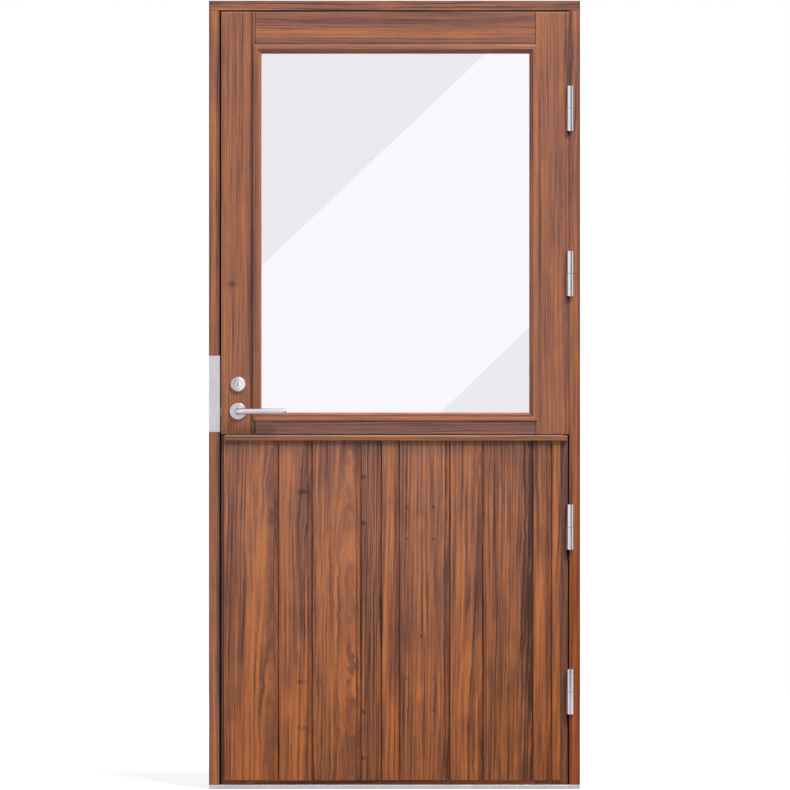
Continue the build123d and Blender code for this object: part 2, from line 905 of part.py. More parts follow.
def rose(bore):
    """Round rose with a softened rim."""
    disc = turned([(bore, 0), (rose_radius, 0), (rose_radius, rose_height), (bore, rose_height)])
    rim = disc.edges().filter_by(GeomType.CIRCLE).group_by(Axis.Z)[-1].sort_by(SortBy.RADIUS)[-1]
    return fillet(rim, rose_round)


def roses():
    """Roses of the two levers and of the thumb turn."""
    lever_rose = rose(lever_radius + rose_clearance)
    turn_rose = rose(turn_stem_radius + rose_clearance)
    return group([
        from_outside(spindle_x, spindle_height) * lever_rose,
        from_inside(spindle_x, spindle_height) * lever_rose,
        from_inside(spindle_x, cylinder_height) * turn_rose,
    ])


# Cylinder and thumb turn

def cylinder_ring():
    """Conical ring that clamps the cylinder on the outer face."""
    bore = cylinder_radius + cylinder_clearance
    profile = [(bore, 0), (ring_radius, 0), (ring_radius, ring_rim), (ring_face_radius, ring_height)]
    profile += [(bore + ring_lip, ring_height), (bore, ring_height - ring_lip)]
    ring = turned(profile)
    crown = ring.edges().filter_by(GeomType.CIRCLE).group_by(Axis.Z)[-1].sort_by(SortBy.RADIUS)[-1]
    return from_outside(spindle_x, cylinder_height) * fillet(crown, ring_lip)


def cylinder_depth():
    """Distance from the leaf's outer face in to the lock case."""
    return leaf_thickness / 2 - case_thickness / 2


def cylinder_body():
    """Housing of the cylinder, set a little below the ring's face."""
    bore = plug_radius + plug_clearance
    top = ring_height - cylinder_sink
    arris = 2 * cylinder_clearance
    profile = [(bore, -cylinder_depth()), (cylinder_radius, -cylinder_depth())]
    profile += [(cylinder_radius, top - arris), (cylinder_radius - arris, top), (bore, top)]
    return from_outside(spindle_x, cylinder_height) * turned(profile)


def cylinder_plug():
    """Turning plug with its keyway and the flat tail that reaches into the lock."""
    top = ring_height - cylinder_sink
    plug = turned([(0, -cylinder_depth()), (plug_radius, -cylinder_depth()), (plug_radius, top), (0, top)])
    slot = block(around(0, keyway_width / 2), around(0, keyway_height / 2), (top - keyway_depth, top))
    tail_z = (-leaf_thickness / 2 + tail_gap / 2, -cylinder_depth())
    tail = block(around(0, tail_width / 2), around(0, tail_thickness / 2), tail_z)
    return from_outside(spindle_x, cylinder_height) * (plug - slot + tail)


def thumb_turn():
    """Inside turn: stem, flat grip and tail."""
    profile = [(0, lever_foot), (turn_stem_radius, lever_foot)]
    profile += [(turn_stem_radius, turn_height), (0, turn_height)]
    stem = turned(profile)
    grip = extrude(Rot(0, 0, 90) * SlotOverall(turn_grip_length, turn_grip_width), amount=turn_height)
    grip = fillet(grip.edges().group_by(Axis.Z)[-1], rose_round)
    grip &= block(around(0, turn_grip_length), around(0, turn_grip_length), (turn_grip_start, turn_height))
    knob = stem & block(around(0, rose_radius), around(0, rose_radius), (lever_foot, turn_grip_start))
    tail_z = (-leaf_thickness / 2 + tail_gap / 2, lever_foot)
    tail = block(around(0, tail_width / 2), around(0, tail_thickness / 2), tail_z)
    return from_inside(spindle_x, cylinder_height) * (grip + knob + tail)


# Surface bolts

def bolt_plate():
    """Plate with two bored guides, its rod's axis along X, standing on the plane Z = 0."""
    half = bolt_plate_length / 2
    plate = block((-half, half), around(0, bolt_plate_width / 2), (0, bolt_plate_thickness))
    plate = fillet(plate.edges().filter_by(Axis.Z), bolt_guide_wall)
    top = bolt_rod_offset + bolt_rod_radius + bolt_guide_wall
    for end in (-1, 1):
        far = end * (half - bolt_guide_inset)
        near = far - end * bolt_guide_length
        guide = block(sorted((near, far)), around(0, bolt_guide_width / 2), (bolt_plate_thickness, top))
        upper = guide.edges().filter_by(Axis.X).group_by(Axis.Z)[-1]
        plate += fillet(upper, bolt_guide_width / 3)
    bore = bolt_rod_radius + bolt_rod_clearance
    return plate - rod(bore, (-half, 0, bolt_rod_offset), (half, 0, bolt_rod_offset))


def bolt_rod():
    """Sliding rod with its knob, its tip a little past the plate's -X end."""
    half = bolt_plate_length / 2
    low = (-half - bolt_tip, 0, bolt_rod_offset)
    high = (half + bolt_tail, 0, bolt_rod_offset)
    bar = rod(bolt_rod_radius, low, high)
    bar = chamfer(bar.edges().filter_by(GeomType.CIRCLE), bolt_rod_chamfer)
    knob_x = half - knob_place
    knob = rod(knob_radius, (knob_x, 0, bolt_rod_offset), (knob_x, 0, bolt_rod_offset + knob_reach))
    top = knob.edges().group_by(Axis.Z)[-1]
    return bar + fillet(top, rose_round)


def lower_bolt_place():
    """Plate flat on the inside, its rod pointing at the lock jamb."""
    return Location((lower_bolt_middle, leaf_back, lower_bolt_height), (-90, 0, 0))


def link_bolt_place():
    """Plate flat on the inside, its rod pointing up at the upper leaf."""
    return Pos(spindle_x, leaf_back, link_bolt_middle) * Rot(0, 90, 0) * Rot(-90, 0, 0)


def link_keeper():
    """Bored block on a plate at the foot of the upper leaf."""
    z = (upper_bottom + keeper_rise, upper_bottom + keeper_rise + keeper_height)
    face = leaf_back + bolt_plate_thickness
    plate = block(around(spindle_x, keeper_width / 2), (leaf_back, face), z)
    plate = fillet(plate.edges().filter_by(Axis.Y), bolt_guide_wall)
    top = rod_y + bolt_rod_radius + bolt_guide_wall
    guide = block(around(spindle_x, bolt_guide_width / 2), (face, top), z)
    guide = fillet(guide.edges().filter_by(Axis.Z).group_by(Axis.Y)[-1], bolt_guide_width / 3)
    bore = rod(bolt_rod_radius + keeper_hole_clearance, (spindle_x, rod_y, z[0]), (spindle_x, rod_y, z[1]))
    return cut(plate + guide, [bore] + [screw_hole(place) for place in keeper_screws()])


def link_bolt_plate():
    holes = [screw_hole(place) for place in link_plate_screws()]
    return cut(link_bolt_place() * bolt_plate(), holes)


def lower_bolt_plate():
    holes = [screw_hole(place) for place in lower_plate_screws()]
    return cut(lower_bolt_place() * bolt_plate(), holes)


# Lower leaf

def board_rebate():
    """Rebate in the lower leaf's framing that takes the boards."""
    return block((board_left, board_right), (lower_front, board_back), (board_bottom, cap_bottom))


def lower_lock_stile():
    body = stile(-1, leaf_edge, lower_y, lower_z, lower_rails) - board_rebate()
    holes = link_plate_screws() + lower_plate_screws()
    return cut(body, [screw_hole(place) for place in holes])


def lower_hinge_stile():
    body = stile(1, leaf_edge, lower_y, lower_z, lower_rails) - board_rebate()
    return cut(body, leaf_hinge_cuts(hinge_heights[2:], leaf_edge, lower_run_out))


def lower_rail(heights):
    return rail(lower_y, *heights) - board_rebate()


def lower_core():
    """Insulating core between the framing, the boards and the inner panel."""
    z = (lower_rails[1][1], lower_rails[0][0])
    body = block((lock_joint, hinge_joint), (board_back, lower_back), z)
    return cut(body, [screw_hole(place) for place in lower_plate_screws()])


def lower_inner_panel():
    """Inner facing with upright V grooves."""
    body = block((-leaf_edge, leaf_edge), (lower_back, leaf_back), lower_z)
    pitch = 2 * leaf_edge / (panel_grooves + 1)
    for number in range(1, panel_grooves + 1):
        x = -leaf_edge + number * pitch
        left, right = around(x, panel_groove_depth)
        groove = section([(left, leaf_back), (right, leaf_back), (x, leaf_back - panel_groove_depth)])
        body -= along_z(groove, *lower_z)
    holes = [screw_hole(place) for place in link_plate_screws() + lower_plate_screws()]
    return cut(body, holes + leaf_hinge_cuts(hinge_heights[2:], leaf_edge, lower_run_out))


def board(left, right, first, last):
    """Matched board: grooved on the left, with a sunk lip, a seam and a tongue on the right."""
    tongue = (front + tongue_set_back, front + tongue_set_back + tongue_thickness)
    points = [(left, front + board_arris), (left + board_arris, front)]
    if last:
        points += [(right - board_arris, front), (right, front + board_arris)]
    else:
        lip = right - board_seam - board_lip
        points += [(lip, front), (lip, front + board_lip_depth)]
        points += [(right - board_seam, front + board_lip_depth)]
        points += [(right - board_seam, front + board_seam_depth), (right, front + board_seam_depth)]
        points += [(right, tongue[0]), (right + tongue_length, tongue[0])]
        points += [(right + tongue_length, tongue[1]), (right, tongue[1])]
    points += [(right, board_back), (left, board_back)]
    if not first:
        groove = left + tongue_length + tongue_clearance
        low, high = tongue[0] - tongue_clearance, tongue[1] + tongue_clearance
        points += [(left, high), (groove, high), (groove, low), (left, low)]
    return along_z(section(points), board_bottom, cap_bottom)


def board_edges():
    """Joints between the boards, from the lock side, with the widths repeated until the leaf is filled."""
    edges = [board_left]
    width = board_widths[0]
    while edges[-1] + width + board_least < board_right:
        edges.append(edges[-1] + width)
        width = board_widths[(len(edges) - 1) % len(board_widths)]
    return edges + [board_right]


def lower_boards():
    """All boards, from the lock side to the hinge side."""
    edges = board_edges()
    last = len(edges) - 2
    return [board(edges[n], edges[n + 1], n == 0, n == last) for n in range(last + 1)]


def meeting_cap():
    """Weather cap over the boards: bevelled top, quirk, upright face and shortened ends."""
    nose = front - cap_projection
    top = meeting_height
    quirk_z = top - cap_bevel
    points = [
        (lower_front, cap_bottom), (lower_front, top), (nose + cap_bevel, top), (nose + cap_quirk, quirk_z),
        (nose + cap_quirk * 2, quirk_z), (nose + cap_quirk * 2, quirk_z - cap_quirk),
        (nose, quirk_z - cap_quirk), (nose, cap_bottom + cap_quirk), (nose + cap_quirk, cap_bottom),
    ]
    bar = along_x(section(points), cap_lock_set_back - leaf_edge, leaf_edge - cap_hinge_set_back)
    left_nose = bar.edges().filter_by(Axis.Z).group_by(Axis.Y)[0].sort_by(Axis.X)[0]
    return chamfer(left_nose, cap_end_chamfer)


def pieces():
    """Every piece by name."""
    upper, lower = hinge_heights[:2], hinge_heights[2:]
    frame_places = [place for height in hinge_heights for place in frame_hinge_screws(height)]
    frame_places += strike_screws() + lower_strike_screws()
    upper_places = [place for height in upper for place in leaf_hinge_screws(height)]
    upper_places += forend_screws() + keeper_screws()
    lower_places = [place for height in lower for place in leaf_hinge_screws(height)]
    lower_places += link_plate_screws() + lower_plate_screws()
    made = {
        "frame_head": frame_head(),
        "lock_jamb": lock_jamb(),
        "hinge_jamb": hinge_jamb(),
        "threshold": threshold(),
        "frame_seals": frame_seals(),
        "lock_strike": lock_strike(),
        "lower_strike": lower_strike(),
        "hinge_frame_halves": group([frame_hinge_half(height) for height in hinge_heights]),
        "hinge_pins": group([hinge_pin(height) for height in hinge_heights]),
        "frame_screws": screws(frame_places),
        "upper_lock_stile": upper_lock_stile(),
        "upper_hinge_stile": upper_hinge_stile(),
        "upper_top_rail": upper_top_rail(),
        "upper_bottom_rail": upper_bottom_rail(),
        "outer_beads": outer_beads(),
        "inner_beads": inner_beads(),
        "outer_pane": pane(pane_front),
        "inner_pane": pane(pane_front + pane_thickness + pane_gap),
        "glass_spacer": glass_spacer(),
        "glazing_tapes": glazing_tapes(),
        "meeting_seal": meeting_seal(),
        "lock_case": lock_case(),
        "roses": roses(),
        "cylinder_ring": cylinder_ring(),
        "cylinder_body": cylinder_body(),
        "link_keeper": link_keeper(),
        "upper_screws": screws(upper_places),
        "lower_lock_stile": lower_lock_stile(),
        "lower_hinge_stile": lower_hinge_stile(),
        "lower_top_rail": lower_rail(lower_rails[0]),
        "lower_bottom_rail": lower_rail(lower_rails[1]),
        "lower_core": lower_core(),
        "lower_inner_panel": lower_inner_panel(),
        "meeting_cap": meeting_cap(),
        "link_bolt_plate": link_bolt_plate(),
        "lower_bolt_plate": lower_bolt_plate(),
        "lower_screws": screws(lower_places),
        "lever_outside": from_outside(spindle_x, spindle_height) * lever(),
        "lever_inside": from_inside(spindle_x, spindle_height) * lever(),
        "spindle": spindle(),
        "latch_bolt": latch_bolt(),
        "dead_bolt": dead_bolt(),
        "cylinder_plug": cylinder_plug(),
        "thumb_turn": thumb_turn(),
        "link_bolt": link_bolt_place() * bolt_rod(),
        "lower_bolt": lower_bolt_place() * bolt_rod(),
    }
    for number, height in enumerate(hinge_heights, 1):
        made[f"hinge_{number}_leaf_half"] = leaf_hinge_half(height)
    for number, shape in enumerate(lower_boards(), 1):
        made[f"lower_board_{number:02d}"] = shape
    return made


def main():
    os.makedirs("parts", exist_ok=True)
    for name, shape in pieces().items():
        export_step(shape, f"parts/{name}.step")


main()
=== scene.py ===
import math
import bpy
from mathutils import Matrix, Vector

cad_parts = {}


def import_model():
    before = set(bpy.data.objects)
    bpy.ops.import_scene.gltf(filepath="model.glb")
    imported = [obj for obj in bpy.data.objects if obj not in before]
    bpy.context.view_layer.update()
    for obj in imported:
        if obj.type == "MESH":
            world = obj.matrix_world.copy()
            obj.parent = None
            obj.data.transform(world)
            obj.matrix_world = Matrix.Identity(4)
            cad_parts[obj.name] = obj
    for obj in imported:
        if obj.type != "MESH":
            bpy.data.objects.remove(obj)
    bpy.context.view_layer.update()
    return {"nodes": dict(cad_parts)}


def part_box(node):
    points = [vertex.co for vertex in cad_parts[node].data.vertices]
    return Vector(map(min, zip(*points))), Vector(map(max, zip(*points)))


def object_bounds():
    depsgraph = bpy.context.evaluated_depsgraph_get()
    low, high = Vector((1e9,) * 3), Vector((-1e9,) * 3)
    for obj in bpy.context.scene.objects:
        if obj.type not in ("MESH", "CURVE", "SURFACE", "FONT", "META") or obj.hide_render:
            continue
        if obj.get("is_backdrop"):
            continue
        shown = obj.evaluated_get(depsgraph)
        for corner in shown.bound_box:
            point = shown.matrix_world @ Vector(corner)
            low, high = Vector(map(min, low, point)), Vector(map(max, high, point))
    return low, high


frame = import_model()

# Units: lengths in metres, colours given to linear() in sRGB levels from 0 to 255
# A column and a row are pixels of the photograph, counted from its left and its top edge

# Camera: straight in front, level with the middle of the door
camera_distance = 16.0
camera_across = 0.0013
camera_height = 1.0498
sensor = 36.0
picture_width = 2.1038
picture_pixels = 790
pixel_size = picture_width / picture_pixels
middle_pixel = picture_pixels / 2

ACROSS, DEPTH, HEIGHT = 0, 1, 2
WHITE = (1.0, 1.0, 1.0, 1.0)
# Nearly all values of a noise lie between the first two, and most of a cloudy one between the others
NOISE_LOW, NOISE_HIGH = 0.25, 0.75
CLOUD_LOW, CLOUD_HIGH = 0.3, 0.7


def x_of(column):
    """Place across the front of the door of a column of the photograph."""
    return camera_across + (column - middle_pixel) * pixel_size


def z_of(row):
    """Height on the front of the door of a row of the photograph."""
    return camera_height - (row - middle_pixel) * pixel_size


def linear(red, green, blue):
    """Scene-linear colour of an sRGB colour."""
    parts = []
    for level in (red, green, blue):
        level = level / 255
        parts.append(level / 12.92 if level <= 0.04045 else ((level + 0.055) / 1.055) ** 2.4)
    return (*parts, 1.0)


class Nodes:
    """A node tree being built, with one short method for each kind of node."""

    def __init__(self, tree):
        self.tree = tree

    def add(self, kind, settings=None, inputs=None):
        node = self.tree.nodes.new(kind)
        for name, value in (settings or {}).items():
            setattr(node, name, value)
        for name, value in (inputs or {}).items():
            self.feed(node.inputs[name], value)
        return node

    def feed(self, socket, value):
        if isinstance(value, bpy.types.NodeSocket):
            self.tree.links.new(value, socket)
        else:
            socket.default_value = value

    def math(self, operation, first, second=0.0):
        return self.add("ShaderNodeMath", {"operation": operation}, {0: first, 1: second}).outputs[0]

    def vector(self, operation, first, second=(0.0, 0.0, 0.0)):
        node = self.add("ShaderNodeVectorMath", {"operation": operation}, {0: first, 1: second})
        return node.outputs["Value" if operation == "LENGTH" else "Vector"]

    def scaled(self, vector, factor):
        """A vector made longer, or a colour made lighter, by a factor."""
        if isinstance(vector, tuple):
            vector = vector[:3]
        node = self.add("ShaderNodeVectorMath", {"operation": "SCALE"}, {0: vector, "Scale": factor})
        return node.outputs["Vector"]

    def split(self, vector):
        return self.add("ShaderNodeSeparateXYZ", None, {0: vector}).outputs

    def joined(self, x, y, z):
        return self.add("ShaderNodeCombineXYZ", None, {0: x, 1: y, 2: z}).outputs[0]

    def noise(self, point, stretch, detail=2.0, roughness=0.5, output="Fac"):
        """Noise whose cells measure one over the stretch on each axis."""
        place = self.vector("MULTIPLY", point, stretch)
        inputs = {"Vector": place, "Scale": 1.0, "Detail": detail, "Roughness": roughness}
        return self.add("ShaderNodeTexNoise", None, inputs).outputs[output]

    def ease(self, value, low, high, start=0.0, end=1.0):
        """Smooth step of a value from one range to another."""
        inputs = {"Value": value, "From Min": low, "From Max": high, "To Min": start, "To Max": end}
        node = self.add("ShaderNodeMapRange", {"interpolation_type": "SMOOTHSTEP"}, inputs)
        return node.outputs[0]

    def spread(self, value, low, high, start=0.0, end=1.0):
        """Straight step of a value from one range to another, clamped."""
        inputs = {"Value": value, "From Min": low, "From Max": high, "To Min": start, "To Max": end}
        return self.add("ShaderNodeMapRange", None, inputs).outputs[0]

    def blend(self, factor, first, second, mode="MIX"):
        """Mix of two colours; a Mix node has its colours on inputs 6 and 7 and on output 2."""
        node = self.add("ShaderNodeMix", {"data_type": "RGBA", "blend_type": mode})
        self.feed(node.inputs[0], factor)
        self.feed(node.inputs[6], first)
        self.feed(node.inputs[7], second)
        return node.outputs[2]

    def choose(self, factor, first, second):
        """Mix of two vectors; a Mix node has its vectors on inputs 4 and 5 and on output 1."""
        node = self.add("ShaderNodeMix", {"data_type": "VECTOR"})
        self.feed(node.inputs[0], factor)
        self.feed(node.inputs[4], first)
        self.feed(node.inputs[5], second)
        return node.outputs[1]

    def bump(self, height, distance):
        inputs = {"Height": height, "Distance": distance, "Strength": 1.0}
        return self.add("ShaderNodeBump", None, inputs).outputs[0]


def new_material(name):
    material = bpy.data.materials.new(name)
    material.use_nodes = True
    material.node_tree.nodes.clear()
    return material, Nodes(material.node_tree)


def finish_with(nodes, surface, kind="ShaderNodeOutputMaterial"):
    """Put a shader on the tree's output."""
    nodes.feed(nodes.add(kind).inputs["Surface"], surface)


def principled(nodes, **inputs):
    """Principled shader on the output; names of inputs have underscores for spaces."""
    shader = nodes.add("ShaderNodeBsdfPrincipled")
    for name, value in inputs.items():
        nodes.feed(shader.inputs[name.replace("_", " ")], value)
    finish_with(nodes, shader.outputs[0])


def place(nodes):
    """Point of the surface in the frame, at rest."""
    return nodes.add("ShaderNodeTexCoord").outputs["Object"]


def object_normal(nodes):
    return nodes.add("ShaderNodeTexCoord").outputs["Normal"]


# Timber

def timber_group():
    """Growth rings round a wandering pith, bands of colour that follow them, fibres and pores."""
    group = bpy.data.node_groups.new("timber", "ShaderNodeTree")
    taken_in = {
        "Vector": ("Point", "Pith", "Tilt", "Shift"),
        "Float": ("Wander", "Wave", "Ring", "Contrast", "Lift", "Streak_and_shade", "Glow", "End"),
        "Color": ("Light", "Base", "Mid", "Dark"),
    }
    for kind, names in taken_in.items():
        for name in names:
            group.interface.new_socket(name=name, in_out="INPUT", socket_type="NodeSocket" + kind)
    for name, kind in (("Colour", "Color"), ("Height", "Float"), ("Roughness", "Float")):
        group.interface.new_socket(name=name, in_out="OUTPUT", socket_type="NodeSocket" + kind)
    nodes = Nodes(group)
    given = nodes.add("NodeGroupInput").outputs
    shifted = nodes.vector("ADD", given["Point"], given["Shift"])
    along = nodes.split(shifted)[2]
    shift = nodes.split(given["Shift"])[0]
    half = (0.5, 0.5, 0.5)

    # Distance from the pith, bent widely and kinked finely
    wide = nodes.noise(shifted, (4.0, 4.0, 1.0), 2.0, 0.5, "Color")
    bend = nodes.scaled(nodes.vector("SUBTRACT", wide, half), given["Wander"])
    fine = nodes.noise(shifted, (26.0, 26.0, 20.0), 2.0, 0.6, "Color")
    kink = nodes.scaled(nodes.vector("SUBTRACT", fine, half), given["Wave"])
    warped = nodes.vector("ADD", given["Point"], bend)
    pith = nodes.vector("ADD", given["Pith"], nodes.scaled(given["Tilt"], nodes.split(given["Point"])[2]))
    from_pith = nodes.vector("MULTIPLY", nodes.vector("SUBTRACT", warped, pith), (1.0, 1.0, 0.0))
    smooth = nodes.math("ADD", nodes.vector("LENGTH", from_pith), shift)
    distance = nodes.math("ADD", nodes.vector("LENGTH", from_pith), nodes.split(kink)[0])

    # Layers of grain: broad, narrow and thin follow the rings, the rest don't
    zones = nodes.joined(nodes.math("ADD", distance, shift), 0.0, along)
    broad = nodes.noise(nodes.joined(smooth, 0.0, along), (24.0, 1.0, 0.6), 1.5, 0.5)
    narrow = nodes.noise(zones, (130.0, 1.0, 1.3), 3.0, 0.7)
    thin = nodes.noise(zones, (360.0, 1.0, 3.2), 2.0, 0.6)
    mottle = nodes.noise(shifted, (20.0, 20.0, 13.0), 2.0, 0.5)
    fleck = nodes.noise(shifted, (140.0, 140.0, 16.0), 2.0, 0.6)
    fibre = nodes.noise(warped, (900.0, 900.0, 9.0), 3.0, 0.6)
    pore = nodes.noise(warped, (1300.0, 1300.0, 42.0), 1.0, 0.5)
    pores = nodes.ease(pore, 0.60, 0.72)

    # Late wood: the dark end of each ring
    turns = nodes.math("DIVIDE", distance, given["Ring"])
    phase = nodes.math("FRACT", nodes.math("ADD", turns, nodes.math("MULTIPLY", narrow, 1.5)))
    late = nodes.math("MULTIPLY", nodes.ease(phase, 0.45, 0.90), nodes.ease(phase, 1.0, 0.92))
    late = nodes.math("MULTIPLY", late, nodes.ease(mottle, 0.35, 0.6, 0.5, 1.0))

    # Tone: 0 is darkest and 1 is lightest
    plain, late_depth, streak_and_shade_depth, glow_height = 0.53, 0.14, 0.26, 0.16
    broad_share, narrow_share = 0.65, 0.80
    tone = nodes.math("MULTIPLY", nodes.math("SUBTRACT", broad, 0.5), broad_share)
    tone = nodes.math("ADD", tone, nodes.math("MULTIPLY", nodes.math("SUBTRACT", narrow, 0.5), narrow_share))
    for layer, reach in ((thin, 0.36), (fleck, 0.05), (mottle, 0.08), (fibre, 0.07)):
        tone = nodes.math("ADD", tone, nodes.spread(layer, NOISE_LOW, NOISE_HIGH, -reach, reach))
    tone = nodes.math("SUBTRACT", tone, nodes.math("MULTIPLY", late, late_depth))
    tone = nodes.math("ADD", nodes.math("MULTIPLY", tone, given["Contrast"]), plain)
    tone = nodes.math("ADD", tone, given["Lift"])
    # Dark patches lower the tone: some are streaks in the grain and some are painted shade
    tone = nodes.math("SUBTRACT", tone, nodes.math("MULTIPLY", given["Streak_and_shade"], streak_and_shade_depth))
    tone = nodes.math("ADD", tone, nodes.math("MULTIPLY", given["Glow"], glow_height))
    colour = given["Dark"]
    for low, high, lighter in ((0.18, 0.42, "Mid"), (0.36, 0.58, "Base"), (0.50, 0.78, "Light")):
        colour = nodes.blend(nodes.ease(tone, low, high), colour, given[lighter])
    colour = nodes.scaled(colour, nodes.spread(fibre, NOISE_LOW, NOISE_HIGH, 0.93, 1.06))
    for mask, left in ((pores, 0.82), (given["End"], 0.62)):
        colour = nodes.scaled(colour, nodes.spread(mask, 0.0, 1.0, 1.0, left))

    height = nodes.math("SUBTRACT", nodes.math("MULTIPLY", fibre, 0.5), pores)
    height = nodes.math("ADD", height, nodes.math("MULTIPLY", thin, 0.4))
    rough = nodes.spread(fibre, NOISE_LOW, NOISE_HIGH, 0.62, 0.48)
    rough = nodes.math("ADD", rough, nodes.math("MULTIPLY", pores, 0.12))
    handed_out = nodes.add("NodeGroupOutput")
    nodes.feed(handed_out.inputs["Colour"], colour)
    nodes.feed(handed_out.inputs["Height"], height)
    nodes.feed(handed_out.inputs["Roughness"], rough)
    return group


TIMBER = timber_group()
# How far each seed moves a piece along the log's three axes, and how deep its grain is felt
LOG_STEPS = (0.37, 0.61, 1.13)
GRAIN_DEPTH = 0.0002

# Kinds of timber, as inputs of the group: a ring's thickness, how far it wanders and how much it waves
UPPER = {
    "Light": linear(190, 121, 77), "Base": linear(162, 102, 75),
    "Mid": linear(138, 90, 74), "Dark": linear(84, 62, 60),
    "Contrast": 0.85, "Ring": 0.006, "Wander": 0.02, "Wave": 0.002,
}
LOWER = {
    "Light": linear(196, 126, 84), "Base": linear(163, 105, 80),
    "Mid": linear(132, 88, 76), "Dark": linear(84, 58, 54),
    "Contrast": 0.85, "Ring": 0.008, "Wander": 0.022, "Wave": 0.004,
}
# Share of the colour left at the foot of the door, where the timber is more orange, and where that begins
FOOT_TINT = (0.97, 0.80, 0.49, 1.0)
foot_height = 1.0

bead_low, bead_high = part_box("outer_beads")
bead_corners = (bead_low.x, bead_high.x, bead_low.z, bead_high.z)
# Painted shade in a line along the bead's moulding, where its flat meets its slope: how far in it lies, how
# far from its middle it starts and is darkest, and the share of the colour left there
bead_quirk, quirk_start, quirk_core, quirk_shade_share = 0.0135, 0.0018, 0.0006, 0.6


def ellipse(nodes, point, middle, half, strength):
    """Strongest at the middle of an upright ellipse in X and Z, and zero outside it."""
    away = nodes.vector("SUBTRACT", point, (middle[0], 0.0, middle[1]))
    share = nodes.vector("MULTIPLY", away, (1.0 / half[0], 0.0, 1.0 / half[1]))
    rim, core = 1.0, 0.15
    return nodes.ease(nodes.vector("LENGTH", share), rim, core, 0.0, strength)


def largest(nodes, patches):
    """The strength of the strongest of several patches at a point, or zero."""
    total = 0.0
    for patch in patches:
        total = nodes.math("MAXIMUM", ellipse(nodes, place(nodes), *patch), total)
    return total


def grain_point(nodes, grain, corners):
    """The point with its third coordinate along the grain, the share of end grain, and for a mitred frame
    whether the length stands upright and how far in from its outer edge the point lies."""
    point = place(nodes)
    x, y, z = nodes.split(point)
    facing = nodes.split(nodes.vector("ABSOLUTE", object_normal(nodes)))
    if grain == "Z":
        return point, nodes.ease(facing[HEIGHT], 0.6, 0.9), None, None
    turned = nodes.joined(z, y, x)
    if grain == "X":
        return turned, nodes.ease(facing[ACROSS], 0.6, 0.9), None, None
    x0, x1, z0, z1 = corners
    beside = nodes.math("MINIMUM", nodes.math("SUBTRACT", x, x0), nodes.math("SUBTRACT", x1, x))
    above = nodes.math("MINIMUM", nodes.math("SUBTRACT", z, z0), nodes.math("SUBTRACT", z1, z))
    upright = nodes.math("LESS_THAN", beside, above)
    return nodes.choose(upright, turned, point), 0.0, upright, nodes.math("MINIMUM", beside, above)


def banded(nodes, colour, bands):
    """Tint a colour in bands of the door: axis, start, end, softness and tint; None leaves an end open."""
    for axis, start, end, soft, tint in bands:
        along = nodes.split(place(nodes))[axis]
        inside = 1.0
        if start is not None:
            inside = nodes.ease(along, start - soft, start + soft)
        if end is not None:
            inside = nodes.math("MULTIPLY", nodes.ease(along, end + soft, end - soft), inside)
        colour = nodes.blend(inside, colour, nodes.blend(1.0, colour, (*tint, 1.0), "MULTIPLY"))
    return colour


def timber(name, seed, grain, pith, kind=UPPER, tilt=0.0, lift=0.0, dark=(), glow=(), bands=(),
           corners=None, foot=None, gloss=0.22, **changes):
    """A piece's own timber, with darker and glowing patches and tinted bands, some of which are painted
    shade and painted highlights. The seed picks its place along the log, and the pith says where the log's
    middle lies, across the grain from the frame's origin."""
    material, nodes = new_material(name)
    if foot is None:
        foot = 1.0 if kind is LOWER else 0.0
    point, end, upright, inward = grain_point(nodes, grain, corners)
    log = nodes.add("ShaderNodeGroup", {"node_tree": TIMBER}, {
        "Point": point, "Pith": (pith[0], pith[1], 0.0), "Tilt": (0.0, tilt, 0.0),
        "Shift": tuple(seed * step for step in LOG_STEPS), "End": end, "Lift": lift, **kind, **changes,
        "Streak_and_shade": largest(nodes, dark), "Glow": largest(nodes, glow),
    })
    colour = log.outputs["Colour"]
    if foot:
        fade = nodes.ease(nodes.split(place(nodes))[HEIGHT], foot_height, 0.0, 0.0, foot)
        colour = nodes.blend(fade, colour, nodes.blend(1.0, colour, FOOT_TINT, "MULTIPLY"))
    if corners:
        level = banded(nodes, colour, [each for each in bands if each[0] == HEIGHT])
        standing = banded(nodes, colour, [each for each in bands if each[0] == ACROSS])
        colour = nodes.blend(upright, level, standing)
        # Painted shade along the line where the bead's flat meets its slope
        from_quirk = nodes.math("ABSOLUTE", nodes.math("SUBTRACT", inward, bead_quirk))
        shade = nodes.spread(nodes.ease(from_quirk, quirk_start, quirk_core), 0.0, 1.0, 1.0, quirk_shade_share)
        colour = nodes.scaled(colour, shade)
    else:
        colour = banded(nodes, colour, bands)
    principled(
        nodes, Base_Color=colour, Roughness=log.outputs["Roughness"],
        Normal=nodes.bump(log.outputs["Height"], GRAIN_DEPTH), Specular_IOR_Level=gloss,
    )
    return material


# Metals, glass and rubber

def brushed(name, colour, roughness, stretch, change=0.12, ridge=0.00002, uneven=0.08, bands=()):
    """Metal with fine lines; the stretch gives how close they lie on each axis."""
    material, nodes = new_material(name)
    point = place(nodes)
    lines = nodes.noise(point, stretch, 3.0, 0.6)
    cloud = nodes.noise(point, (14.0, 14.0, 14.0), 3.0, 0.6)
    tone = nodes.math("ADD", nodes.spread(lines, NOISE_LOW, NOISE_HIGH, 1.0 - change, 1.0 + change / 2),
                      nodes.spread(cloud, CLOUD_LOW, CLOUD_HIGH, -0.04, 0.04))
    principled(
        nodes, Base_Color=banded(nodes, nodes.scaled(colour, tone), bands), Metallic=1.0,
        Roughness=nodes.spread(lines, NOISE_LOW, NOISE_HIGH, roughness - uneven, roughness + uneven),
        Normal=nodes.bump(lines, ridge),
    )
    return material


